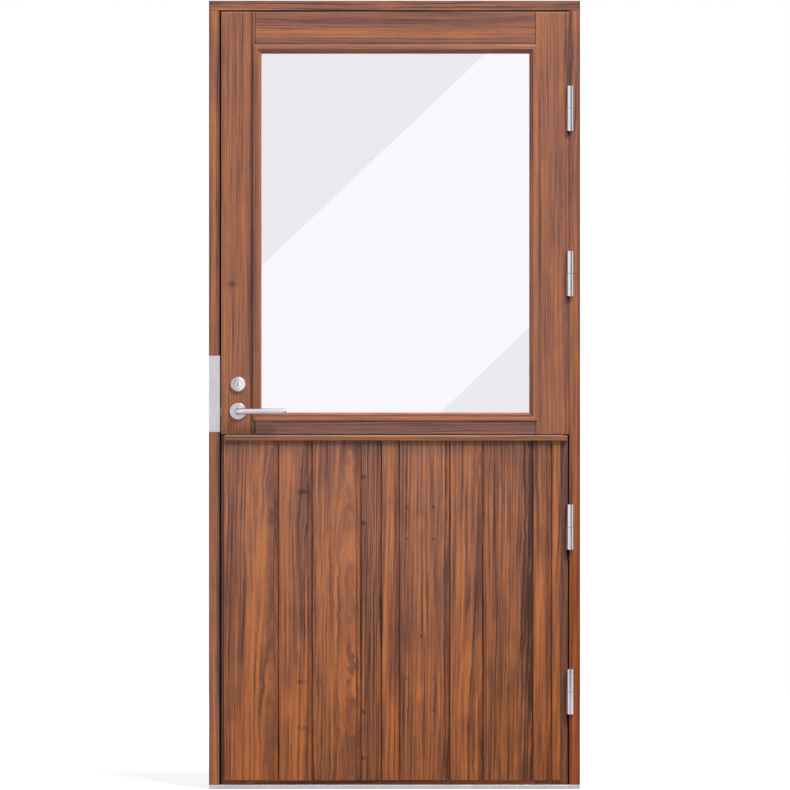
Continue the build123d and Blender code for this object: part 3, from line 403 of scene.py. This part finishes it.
def glass():
    """Clear pane: mirrors 4 per cent straight on and more at a slant, and lets the rest straight through."""
    straight_on = 0.04
    let_through = (0.9937, 0.989, 0.9985, 1.0)
    material, nodes = new_material("pane_glass")
    clear = nodes.add("ShaderNodeBsdfTransparent", None, {"Color": let_through})
    mirror = nodes.add("ShaderNodeBsdfGlossy", None, {"Color": WHITE, "Roughness": 0.0})
    facing = nodes.add("ShaderNodeLayerWeight", None, {"Blend": 0.5}).outputs["Facing"]
    slant = nodes.math("MULTIPLY", nodes.math("POWER", facing, 5.0), 1.0 - straight_on)
    both = nodes.add("ShaderNodeMixShader")
    nodes.feed(both.inputs[0], nodes.math("ADD", slant, straight_on))
    nodes.feed(both.inputs[1], clear.outputs[0])
    nodes.feed(both.inputs[2], mirror.outputs[0])
    finish_with(nodes, both.outputs[0])
    return material


def rubber(name, colour, bands=()):
    """Dull material with a fine grain and a soft cloud, also used for the core of wood fibre."""
    material, nodes = new_material(name)
    grain = nodes.noise(place(nodes), (900.0, 900.0, 900.0), 3.0, 0.6)
    cloud = nodes.noise(place(nodes), (30.0, 30.0, 30.0), 2.0, 0.5)
    shade = nodes.scaled(colour, nodes.spread(cloud, CLOUD_LOW, CLOUD_HIGH, 0.8, 1.25))
    principled(
        nodes, Base_Color=banded(nodes, shade, bands),
        Roughness=nodes.spread(grain, CLOUD_LOW, CLOUD_HIGH, 0.55, 0.75), Normal=nodes.bump(grain, 0.00005),
    )
    return material


# Where the looks change, by columns and rows

def spot(column, row, half_wide, half_high, strength=1.0):
    """A patch of the timber, given by its middle and half widths in pixels."""
    return ((x_of(column), z_of(row)), (half_wide * pixel_size, half_high * pixel_size), strength)


def band(axis, start=None, end=None, soft=0.0, tint=(1.0, 1.0, 1.0)):
    """A band between two places on an axis; with neither it covers the whole piece."""
    return (axis, start, end, soft, tint)


def columns(left=None, right=None, **looks):
    """A band between two columns."""
    start, end = (None if column is None else x_of(column) for column in (left, right))
    return band(ACROSS, start, end, **looks)


def rows(top=None, bottom=None, **looks):
    """A band between two rows."""
    start, end = (None if row is None else z_of(row) for row in (bottom, top))
    return band(HEIGHT, start, end, **looks)


# Tints of the bands: painted shade on the outer edges of the frame, painted shade on the edges beside the
# gaps, a painted highlight on the top edges of the leaf, and dark lines where timbers meet, which also give
# painted shade in the steps of the boards
outer_edge_shade, gap_shade, pale, joint_and_crease_shade = (0.5, 0.42, 0.42), (0.3, 0.26, 0.26), (1.25, 1.75, 2.1), (0.5, 0.33, 0.22)
frame_left, frame_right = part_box("lock_jamb")[0].x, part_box("hinge_jamb")[1].x
leaf_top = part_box("upper_hinge_stile")[1].z
rail_left, rail_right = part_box("upper_lock_stile")[1].x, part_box("upper_hinge_stile")[0].x
head_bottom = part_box("frame_head")[0].z
left_rim, right_rim, head_rim, top_rim = 0.0040, 0.0042, 0.0022, 0.0030
# Painted shade on the outer edges of the frame and under the head beside the gap, and a painted highlight
# along the top edges of the leaf
outer_left = band(ACROSS, end=frame_left + left_rim, soft=0.0014, tint=outer_edge_shade)
outer_right = band(ACROSS, start=frame_right - right_rim, soft=0.0014, tint=outer_edge_shade)
head_gap_shade = band(HEIGHT, end=head_bottom + head_rim, soft=0.0006, tint=gap_shade)
top_edge = band(HEIGHT, start=leaf_top - top_rim, soft=0.0006, tint=pale)
joint_past, joint_width = 0.0002, 0.0018
joint_line = dict(soft=0.0005, tint=joint_and_crease_shade)
rail_joints = [band(ACROSS, rail_left - joint_past, rail_left + joint_width, **joint_line),
               band(ACROSS, rail_right - joint_width, rail_right + joint_past, **joint_line)]
# Painted shadow of the left bead on the stile beside it, and painted shade on the bead's outer part beside
# the stile
stile_beside_bead = columns(left=250.4, right=253.4, soft=0.0028, tint=(0.42, 0.46, 0.52))
bead_beside_stile = columns(left=253.0, right=256.4, soft=0.0016, tint=(0.72, 0.76, 0.86))
# The bead's moulding, measured from its outer edge inward: the edge that catches the light, given a painted
# highlight, the end of the flat, the start of the slope on the right, given painted shade, and past the
# whole bead; the bands also paint shade on the top bead's slope and light on the right bead's flat
lit_edge, flat_end, right_slope, past_bead = 0.0034, 0.0160, 0.0184, 0.03
bead_bands = [
    band(HEIGHT, start=bead_high.z - lit_edge, soft=0.0006, tint=(1.1, 1.5, 2.0)),
    band(HEIGHT, bead_high.z - past_bead, bead_high.z - flat_end, soft=0.0010, tint=(0.7, 0.7, 0.76)),
    band(ACROSS, bead_high.x - past_bead, bead_high.x - right_slope, soft=0.0006, tint=(0.56, 0.54, 0.56)),
    band(ACROSS, start=bead_high.x - flat_end, soft=0.0010, tint=(1.1, 1.12, 1.08)),
    # Painted light on the bottom bead's upward slope and on its face, with a painted shade line between them
    rows(top=411.0, bottom=413.8, soft=0.0006, tint=(1.35, 1.6, 1.45)),
    rows(top=414.9, bottom=415.9, soft=0.0005, tint=(0.75, 0.8, 1.05)),
    rows(top=416.7, bottom=419.3, soft=0.0008, tint=(1.42, 1.4, 1.3)),
    bead_beside_stile,
]
cap_low, cap_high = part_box("meeting_cap")
# Painted highlight on the cap's upward top bevel and painted shade on its front below
cap_lit, cap_shaded = 0.0052, 0.0058
cap_bands = [
    band(HEIGHT, start=cap_high.z - cap_lit, soft=0.0006, tint=(1.0, 1.10, 1.28)),
    band(HEIGHT, cap_low.z, cap_high.z - cap_shaded, soft=0.0004, tint=(0.76, 0.85, 1.0)),
]

# Half of a patch that runs the whole length of a piece
whole = 900
timbers = {
    "frame_head": timber(
        "head_timber", seed=3, grain="X", pith=(2.02, 0.03), lift=-0.13, Contrast=0.9,
        bands=[outer_left, outer_right, head_gap_shade]),
    "lock_jamb": timber(
        "lock_jamb_timber", seed=5, grain="Z", pith=(-0.40, 0.05), lift=0.03, Contrast=0.72,
        # The first dark patch and the band beside the leaf are painted shade along the gap
        dark=[spot(column=218.5, row=395, half_wide=3, half_high=whole),
              spot(column=216, row=60, half_wide=7, half_high=80, strength=0.9)],
        glow=[spot(column=213, row=180, half_wide=3.4, half_high=300),
              spot(column=215, row=262, half_wide=6, half_high=80, strength=0.7)],
        bands=[outer_left, columns(left=219.0, right=222.5, soft=0.0010, tint=gap_shade)]),
    "hinge_jamb": timber(
        "hinge_jamb_timber", seed=8, grain="Z", pith=(0.42, 0.06), lift=-0.01, Contrast=0.8, foot=1.9,
        # The first dark patch and the band on the left are painted shade along the gap beside the leaf
        dark=[spot(column=571, row=60, half_wide=4, half_high=300, strength=0.7),
              spot(column=576, row=60, half_wide=9, half_high=70, strength=0.5)],
        glow=[spot(column=576, row=450, half_wide=2.6, half_high=400, strength=0.6),
              spot(column=576, row=290, half_wide=8, half_high=200, strength=0.4)],
        bands=[outer_right,
               columns(right=571.6, soft=0.0020, tint=(0.80, 0.80, 0.84)),
               columns(left=574.5, soft=0.0020, tint=(1.0, 0.93, 0.80)),
               rows(top=330, soft=0.25, tint=(0.98, 0.95, 0.84)),
               rows(top=460, soft=0.27, tint=(0.97, 0.84, 0.74))]),
    "upper_lock_stile": timber(
        "upper_lock_stile_timber", seed=12, grain="Z", pith=(-0.55, 0.02), Contrast=0.75,
        # The first dark patch is painted shadow that the bead casts on the stile
        dark=[spot(column=250, row=230, half_wide=3.5, half_high=260, strength=0.5),
              spot(column=231, row=284, half_wide=8, half_high=5, strength=0.8)],
        glow=[spot(column=242, row=200, half_wide=4, half_high=260, strength=0.4)],
        bands=[top_edge, stile_beside_bead]),
    "upper_hinge_stile": timber(
        "upper_hinge_stile_timber", seed=17, grain="Z", pith=(0.30, 0.03), lift=0.01, Contrast=0.68,
        # The first two dark patches are painted shade along the edge beside the jamb
        dark=[spot(column=566.5, row=60, half_wide=5, half_high=90, strength=0.7),
              spot(column=566, row=340, half_wide=4, half_high=160, strength=0.5),
              spot(column=540, row=240, half_wide=2.5, half_high=260, strength=0.5)],
        bands=[top_edge]),
    "upper_top_rail": timber(
        "upper_top_rail_timber", seed=23, grain="X", pith=(2.15, 0.02), lift=-0.10, Contrast=0.55,
        dark=[spot(column=395, row=21, half_wide=whole, half_high=7, strength=0.5),
              spot(column=395, row=43, half_wide=whole, half_high=1.6, strength=0.5)],
        glow=[spot(column=395, row=32.5, half_wide=whole, half_high=4, strength=0.8),
              spot(column=395, row=36, half_wide=whole, half_high=2.5, strength=0.8)],
        bands=[top_edge, *rail_joints]),
    "upper_bottom_rail": timber(
        "upper_bottom_rail_timber", seed=29, grain="X", pith=(1.10, 0.05), lift=-0.16, Contrast=0.35,
        bands=[*rail_joints,
               # The two bands between rows are painted light that lifts the shade under the bead and along
               # the foot of the rail
               rows(top=419.0, bottom=422.0, soft=0.0008, tint=(0.95, 1.1, 1.2)),
               rows(top=431.8, bottom=436.0, soft=0.0010, tint=(1.3, 1.35, 1.25)),
               band(HEIGHT, tint=(1.02, 1.10, 1.24))]),
    "outer_beads": timber(
        "outer_bead_timber", seed=31, grain="mitre", pith=(0.5, 0.05), corners=bead_corners,
        lift=0.02, Contrast=0.6,
        dark=[spot(column=255, row=84, half_wide=5, half_high=40, strength=0.5)], bands=bead_bands),
    "inner_beads": timber(
        "inner_bead_timber", seed=37, grain="mitre", pith=(0.5, 0.05), corners=bead_corners),
    "lower_lock_stile": timber(
        "lower_lock_stile_timber", seed=41, grain="Z", pith=(-0.36, 0.05), kind=LOWER,
        lift=-0.12, Contrast=0.35,
        # Painted shadow on the margin beside the boards
        bands=[columns(right=223.6, soft=0.0010, tint=(0.75, 0.8, 0.9))]),
    "lower_hinge_stile": timber(
        "lower_hinge_stile_timber", seed=43, grain="Z", pith=(0.36, 0.05), kind=LOWER,
        lift=-0.15, Contrast=0.5),
    "lower_top_rail": timber("lower_top_rail_timber", seed=47, grain="X", pith=(0.9, 0.07), kind=LOWER),
    "lower_bottom_rail": timber(
        "lower_bottom_rail_timber", seed=53, grain="X", pith=(0.2, 0.07), kind=LOWER, lift=-0.1),
    "lower_inner_panel": timber(
        "inner_panel_timber", seed=59, grain="Z", pith=(1.1, 0.3), kind=LOWER, Contrast=0.7),
    "meeting_cap": timber(
        "cap_timber", seed=61, grain="X", pith=(0.80, 0.05), lift=0.06, Contrast=0.6, gloss=0.04,
        bands=cap_bands),
}

# The boards from left to right: how far the pith lies to the right and how deep, and what sets each apart
board_looks = [
    dict(aside=0.05, deep=0.03, lift=0.02, wave=0.003,
         dark=[spot(column=243, row=640, half_wide=6, half_high=120, strength=0.8)],
         glow=[spot(column=259, row=600, half_wide=13, half_high=130, strength=0.9),
               spot(column=262, row=490, half_wide=9, half_high=50, strength=0.4)]),
    dict(aside=0.05, deep=0.04, lift=0.03, wave=0.003,
         dark=[spot(column=303, row=600, half_wide=6, half_high=190, strength=0.45),
               *(spot(column=302, row=knot, half_wide=8, half_high=4) for knot in (492, 682, 728))],
         glow=[spot(column=288, row=465, half_wide=9, half_high=26),
               spot(column=290, row=560, half_wide=10, half_high=60, strength=0.3),
               spot(column=288, row=705, half_wide=9, half_high=28, strength=0.8)]),
    dict(aside=0.03, deep=0.05, lift=-0.02, wave=0.004,
         glow=[spot(column=351, row=600, half_wide=6, half_high=190, strength=0.6),
               spot(column=325, row=570, half_wide=9, half_high=60, strength=0.3)]),
    dict(aside=0.06, deep=0.03, lift=0.00, wave=0.003,
         dark=[spot(column=380.5, row=612, half_wide=2.5, half_high=50),
               *(spot(column=361.5, row=knot, half_wide=7, half_high=4) for knot in (477, 523, 712, 758))],
         glow=[spot(column=368, row=520, half_wide=8, half_high=60, strength=0.4)]),
    dict(aside=0.06, deep=0.03, lift=0.06, wave=0.002,
         dark=[spot(column=396.5, row=600, half_wide=1.2, half_high=190, strength=0.5)],
         glow=[spot(column=386, row=640, half_wide=4, half_high=170),
               spot(column=391, row=730, half_wide=5, half_high=60)]),
    dict(aside=0.08, deep=0.04, lift=-0.02, wave=0.002,
         dark=[*(spot(column=side, row=knot, half_wide=2.2, half_high=3, strength=0.7)
                 for side in (407, 433.5) for knot in (507, 539, 678, 710)),
               spot(column=421, row=636, half_wide=2, half_high=2)],
         glow=[spot(column=415.5, row=600, half_wide=4, half_high=200, strength=0.6),
               spot(column=429, row=600, half_wide=3, half_high=200, strength=0.5),
               spot(column=420, row=523, half_wide=6, half_high=13),
               spot(column=420, row=694, half_wide=6, half_high=13)]),
    dict(aside=0.04, deep=0.05, lift=-0.03, wave=0.002,
         dark=[spot(column=474, row=760, half_wide=12, half_high=60, strength=0.5)],
         glow=[spot(column=466.5, row=468, half_wide=5, half_high=34),
               spot(column=462, row=560, half_wide=9, half_high=70, strength=0.5),
               spot(column=466.5, row=700, half_wide=5, half_high=34, strength=0.5)]),
    dict(aside=0.07, deep=0.03, lift=-0.11, wave=0.003,
         dark=[spot(column=527.5, row=622, half_wide=8, half_high=110),
               spot(column=531, row=600, half_wide=2.5, half_high=260, strength=0.8),
               spot(column=495.6, row=600, half_wide=1, half_high=260, strength=0.5),
               spot(column=515, row=660, half_wide=12, half_high=70, strength=0.5)],
         glow=[spot(column=489, row=540, half_wide=6, half_high=120, strength=0.7),
               spot(column=505, row=510, half_wide=14, half_high=50, strength=0.4)]),
    dict(aside=0.05, deep=0.03, lift=-0.05, wave=0.003,
         dark=[spot(column=534, row=470, half_wide=4, half_high=60, strength=0.3),
               spot(column=541, row=740, half_wide=8, half_high=60, strength=0.3)],
         glow=[spot(column=541, row=610, half_wide=9, half_high=90)]),
    dict(aside=0.05, deep=0.03, lift=0.02, wave=0.002,
         glow=[spot(column=556, row=560, half_wide=4, half_high=110, strength=0.8)]),
]
tongue_length, board_seam, board_lip, lip_line, under_cap = 0.005, 0.0036, 0.0105, 0.0007, 0.03
board_tilt = 0.01
first_board_seed, board_seed_step = 77, 6
# The boards after the sixth grow warmer one by one: what each step takes from green and from blue
cool_boards, less_green, less_blue = 6, 0.02, 0.07
for number, looks in enumerate(board_looks, 1):
    board = f"lower_board_{number:02d}"
    low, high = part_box(board)
    warmth = max(0, number - cool_boards)
    # Painted shadow across the top of each board under the cap, a painted shade line at the lip's step, and
    # painted shade on the sunk strip
    bands = [band(HEIGHT, start=high.z - under_cap, soft=0.02, tint=(0.72, 0.80, 0.94)),
             band(HEIGHT, tint=(1.0, 1.0 - less_green * warmth, 1.0 - less_blue * warmth))]
    if number < len(board_looks):
        lip = high.x - tongue_length - board_seam - board_lip
        bands.append(band(ACROSS, lip - lip_line, lip + lip_line, soft=0.0006, tint=joint_and_crease_shade))
        bands.append(band(ACROSS, lip, high.x, soft=0.0005, tint=(0.86, 0.84, 0.84)))
    timbers[board] = timber(
        board + "_timber", seed=first_board_seed + board_seed_step * (number - 1), grain="Z",
        pith=((low.x + high.x) / 2 + looks["aside"], looks["deep"]), kind=LOWER, tilt=board_tilt,
        lift=looks["lift"], dark=looks.get("dark", ()), glow=looks.get("glow", ()), bands=bands,
        Wave=looks["wave"])

# The cylinder and its ring have painted shade on the left and a painted highlight on the right, and painted
# shade down in the keyway
cylinder_light_and_shade = [columns(right=236.0, soft=0.0012, tint=(0.86, 0.84, 0.85)),
          columns(left=239.2, soft=0.0030, tint=(1.42, 1.44, 1.42))]
keyway_depth = 0.004
keyway = band(DEPTH, start=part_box("cylinder_ring")[0].y + keyway_depth, soft=0.001, tint=(0.1, 0.1, 0.1))
satin = linear(208, 204, 209)
steel = brushed("satin_steel", satin, roughness=0.34, stretch=(900.0, 900.0, 30.0))
steel_level = brushed("satin_steel_level", linear(203, 200, 206), roughness=0.34,
                      stretch=(30.0, 900.0, 900.0))
zinc = brushed("zinc_steel", linear(190, 190, 188), roughness=0.4, stretch=(200.0, 200.0, 200.0))
turned_steel = brushed("turned_steel", satin, roughness=0.34, stretch=(900.0, 900.0, 900.0), bands=cylinder_light_and_shade)
brass = brushed("nickel_brass", linear(216, 213, 215), roughness=0.3, stretch=(400.0, 400.0, 400.0),
                bands=[*cylinder_light_and_shade, keyway])
sill = brushed("sill_aluminium", linear(206, 203, 209), roughness=0.42, stretch=(20.0, 1200.0, 1200.0))
spacer = brushed("spacer_aluminium", linear(150, 150, 152), roughness=0.45, stretch=(20.0, 600.0, 600.0))
smooth = dict(change=0.05, ridge=0.000001, uneven=0.03)
hinge_steel = brushed("hinge_steel", linear(201, 199, 205), roughness=0.14, stretch=(500.0, 500.0, 8.0),
                      **smooth)
pin_steel = brushed("pin_steel", linear(180, 178, 184), roughness=0.2, stretch=(500.0, 500.0, 8.0), **smooth)
lever_steel = brushed("lever_steel", linear(205, 200, 206), roughness=0.3, stretch=(30.0, 700.0, 700.0),
                      change=0.06, ridge=0.000004, uneven=0.04)
seal = rubber("seal_rubber", linear(38, 36, 36))
shaded_end = columns(right=233, soft=0.004, tint=(0.12, 0.15, 0.2))
brown_seal = rubber("brown_seal", linear(120, 74, 54), [shaded_end])
wood_fibre = rubber("wood_fibre", linear(176, 146, 104))
leaf_hinges = [f"hinge_{number}_leaf_half" for number in range(1, 5)]
finishes = [
    (pin_steel, ["hinge_pins"]),
    (hinge_steel, ["hinge_frame_halves", *leaf_hinges]),
    (steel, ["lock_strike", "roses", "lower_strike"]),
    (turned_steel, ["cylinder_ring"]),
    (lever_steel, ["lever_outside", "lever_inside"]),
    (steel_level, ["thumb_turn", "link_bolt", "lower_bolt", "link_bolt_plate", "lower_bolt_plate",
                   "link_keeper"]),
    (zinc, ["frame_screws", "upper_screws", "lower_screws", "lock_case", "spindle", "latch_bolt",
            "dead_bolt"]),
    (brass, ["cylinder_body", "cylinder_plug"]),
    (sill, ["threshold"]),
    (spacer, ["glass_spacer"]),
    (glass(), ["outer_pane", "inner_pane"]),
    (seal, ["frame_seals", "glazing_tapes"]),
    (brown_seal, ["meeting_seal"]),
    (wood_fibre, ["lower_core"]),
    *((material, [piece]) for piece, material in timbers.items()),
]
for material, pieces in finishes:
    for piece in pieces:
        mesh = frame["nodes"][piece].data
        if not mesh.materials:
            mesh.materials.append(material)
        for index in range(len(mesh.materials)):
            mesh.materials[index] = material


# Stage: floor, world, cards that the glass mirrors, lamps

cad_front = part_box("lock_jamb")[0].y


def flat_mesh(name, corners):
    mesh = bpy.data.meshes.new(name)
    mesh.from_pydata(corners, [], [tuple(range(len(corners)))])
    thing = bpy.data.objects.new(name, mesh)
    bpy.context.scene.collection.objects.link(thing)
    thing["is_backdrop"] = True
    return thing


def floor():
    """Round pale floor that passes into the white of the world at its rim."""
    radius = 5.0
    steps = 96
    # Distance from the middle over which each grows to one, and its share in the middle
    glow_from, glow_to, glow_share = 0.9, 3.0, 0.62
    mirror_from, mirror_to, mirror_share = 1.5, 4.5, 0.3
    turns = [math.tau * step / steps for step in range(steps)]
    thing = flat_mesh("floor", [(radius * math.cos(turn), radius * math.sin(turn), 0.0) for turn in turns])
    material, nodes = new_material("pale_floor")
    plain = nodes.add("ShaderNodeBsdfDiffuse", None, {"Color": linear(225, 225, 228)})
    glow = nodes.add("ShaderNodeEmission", None, {"Color": WHITE})
    from_middle = nodes.vector("LENGTH", place(nodes))
    own_light = nodes.ease(from_middle, glow_from, glow_to, glow_share, 1.0)
    in_gloss = nodes.ease(from_middle, mirror_from, mirror_to, mirror_share, 1.0)
    path = nodes.add("ShaderNodeLightPath").outputs
    seen = nodes.math("MAXIMUM", path["Is Camera Ray"], path["Is Transmission Ray"])
    seen = nodes.math("MAXIMUM", seen, nodes.math("MULTIPLY", path["Is Glossy Ray"], in_gloss))
    nodes.feed(glow.inputs["Strength"], nodes.math("MULTIPLY", seen, own_light))
    both = nodes.add("ShaderNodeAddShader", None, {0: plain.outputs[0], 1: glow.outputs[0]})
    finish_with(nodes, both.outputs[0])
    thing.data.materials.append(material)


def card(name, points, level):
    """A sheet of an even brightness that only gloss sees, given by points at one depth."""
    thing = flat_mesh(name, points)
    for way in ("camera", "diffuse", "transmission", "volume_scatter", "shadow"):
        setattr(thing, "visible_" + way, False)
    material, nodes = new_material(name)
    glow = nodes.add("ShaderNodeEmission", None, {"Color": WHITE, "Strength": level})
    finish_with(nodes, glow.outputs[0])
    thing.data.materials.append(material)


def mirrored(column, row, depth):
    """The point at a depth that the glass shows at a pixel of the photograph."""
    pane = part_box("outer_pane")[0].y
    reach = camera_distance + pane
    grow = (reach + pane - depth) / reach
    shown = reach / (camera_distance + cad_front)
    x = (column - middle_pixel) * pixel_size * shown * grow
    z = (middle_pixel - row) * pixel_size * shown * grow
    return (camera_across + x, depth, camera_height + z)


def cards():
    """What stands in front of the door: a light wall and two dark corners, which the glass mirrors, and
    a dark strip with a foot, which the hinges mirror."""
    behind = -camera_distance - 1.0
    behind_corners = behind - 0.1
    wall_side, wall_foot, wall_top, wall_level = 3.2, -1.0, 4.0, 0.82
    wall = [(-wall_side, wall_foot), (wall_side, wall_foot), (wall_side, wall_top), (-wall_side, wall_top)]
    card("light_wall", [(x, behind_corners, z) for x, z in wall], wall_level)
    # Columns and rows: the first two points lie on the slanting edge that shows, the rest past the glass
    corners = {
        "dark_corner_high": [(486, 53), (261, 266), (200, 266), (200, 0), (542, 0)],
        "dark_corner_low": [(441, 412), (529.5, 327), (580, 278), (580, 440), (412, 440)],
    }
    for name, outline in corners.items():
        card(name, [mirrored(column, row, behind) for column, row in outline], 0.0)
    # Directions from the hinge pin, in degrees from straight ahead, and heights
    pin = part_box("hinge_pins")[0]
    distance, foot, top = 4.0, 0.28, 3.5
    strip_left, foot_left, right = 28, -30, 50
    shapes = {
        "dark_strip": (strip_left, foot, top),
        "dark_foot": (foot_left, 0.0, foot),
    }
    for name, (left, low, high) in shapes.items():
        x0, x1 = (pin.x + distance * math.tan(math.radians(turn)) for turn in (left, right))
        outline = ((x0, low), (x1, low), (x1, high), (x0, high))
        card(name, [(x, pin.y - distance, z) for x, z in outline], 0.0)


def world():
    """White where the camera, gloss or glass sees it, and a soft grey light elsewhere."""
    soft_light = 0.26
    made = bpy.data.worlds.new("studio")
    made.use_nodes = True
    made.node_tree.nodes.clear()
    nodes = Nodes(made.node_tree)
    path = nodes.add("ShaderNodeLightPath").outputs
    seen = nodes.math("MAXIMUM", path["Is Camera Ray"], path["Is Glossy Ray"])
    seen = nodes.math("MAXIMUM", seen, path["Is Transmission Ray"])
    strength = nodes.spread(seen, 0.0, 1.0, soft_light, 1.0)
    sky = nodes.add("ShaderNodeBackground", None, {"Color": WHITE, "Strength": strength})
    finish_with(nodes, sky.outputs[0], "ShaderNodeOutputWorld")
    bpy.context.scene.world = made


def lamp(name, where, aim, size, power):
    data = bpy.data.lights.new(name, "AREA")
    data.shape = "SQUARE"
    data.size = size
    data.energy = power
    thing = bpy.data.objects.new(name, data)
    bpy.context.scene.collection.objects.link(thing)
    thing.location = where
    thing.rotation_euler = (Vector(aim) - Vector(where)).to_track_quat("-Z", "Y").to_euler()


def camera():
    data = bpy.data.cameras.new("camera")
    data.sensor_width = sensor
    data.lens = sensor * (camera_distance + cad_front) / picture_width
    thing = bpy.data.objects.new("camera", data)
    bpy.context.scene.collection.objects.link(thing)
    thing.location = (camera_across, -camera_distance, camera_height)
    thing.rotation_euler = (math.radians(90), 0.0, 0.0)
    bpy.context.scene.camera = thing


floor()
world()
cards()
camera()
lamp("key", where=(2.2, -4.0, 5.6), aim=(0.0, 0.0, 1.1), size=2.0, power=320.0)
lamp("fill", where=(-3.0, -4.5, 1.6), aim=(0.0, 0.0, 1.0), size=2.5, power=18.0)
lamp("back", where=(-1.8, 4.2, 3.0), aim=(0.0, 0.0, 1.0), size=2.5, power=70.0)

bpy.context.scene.view_settings.view_transform = "Standard"
low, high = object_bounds()
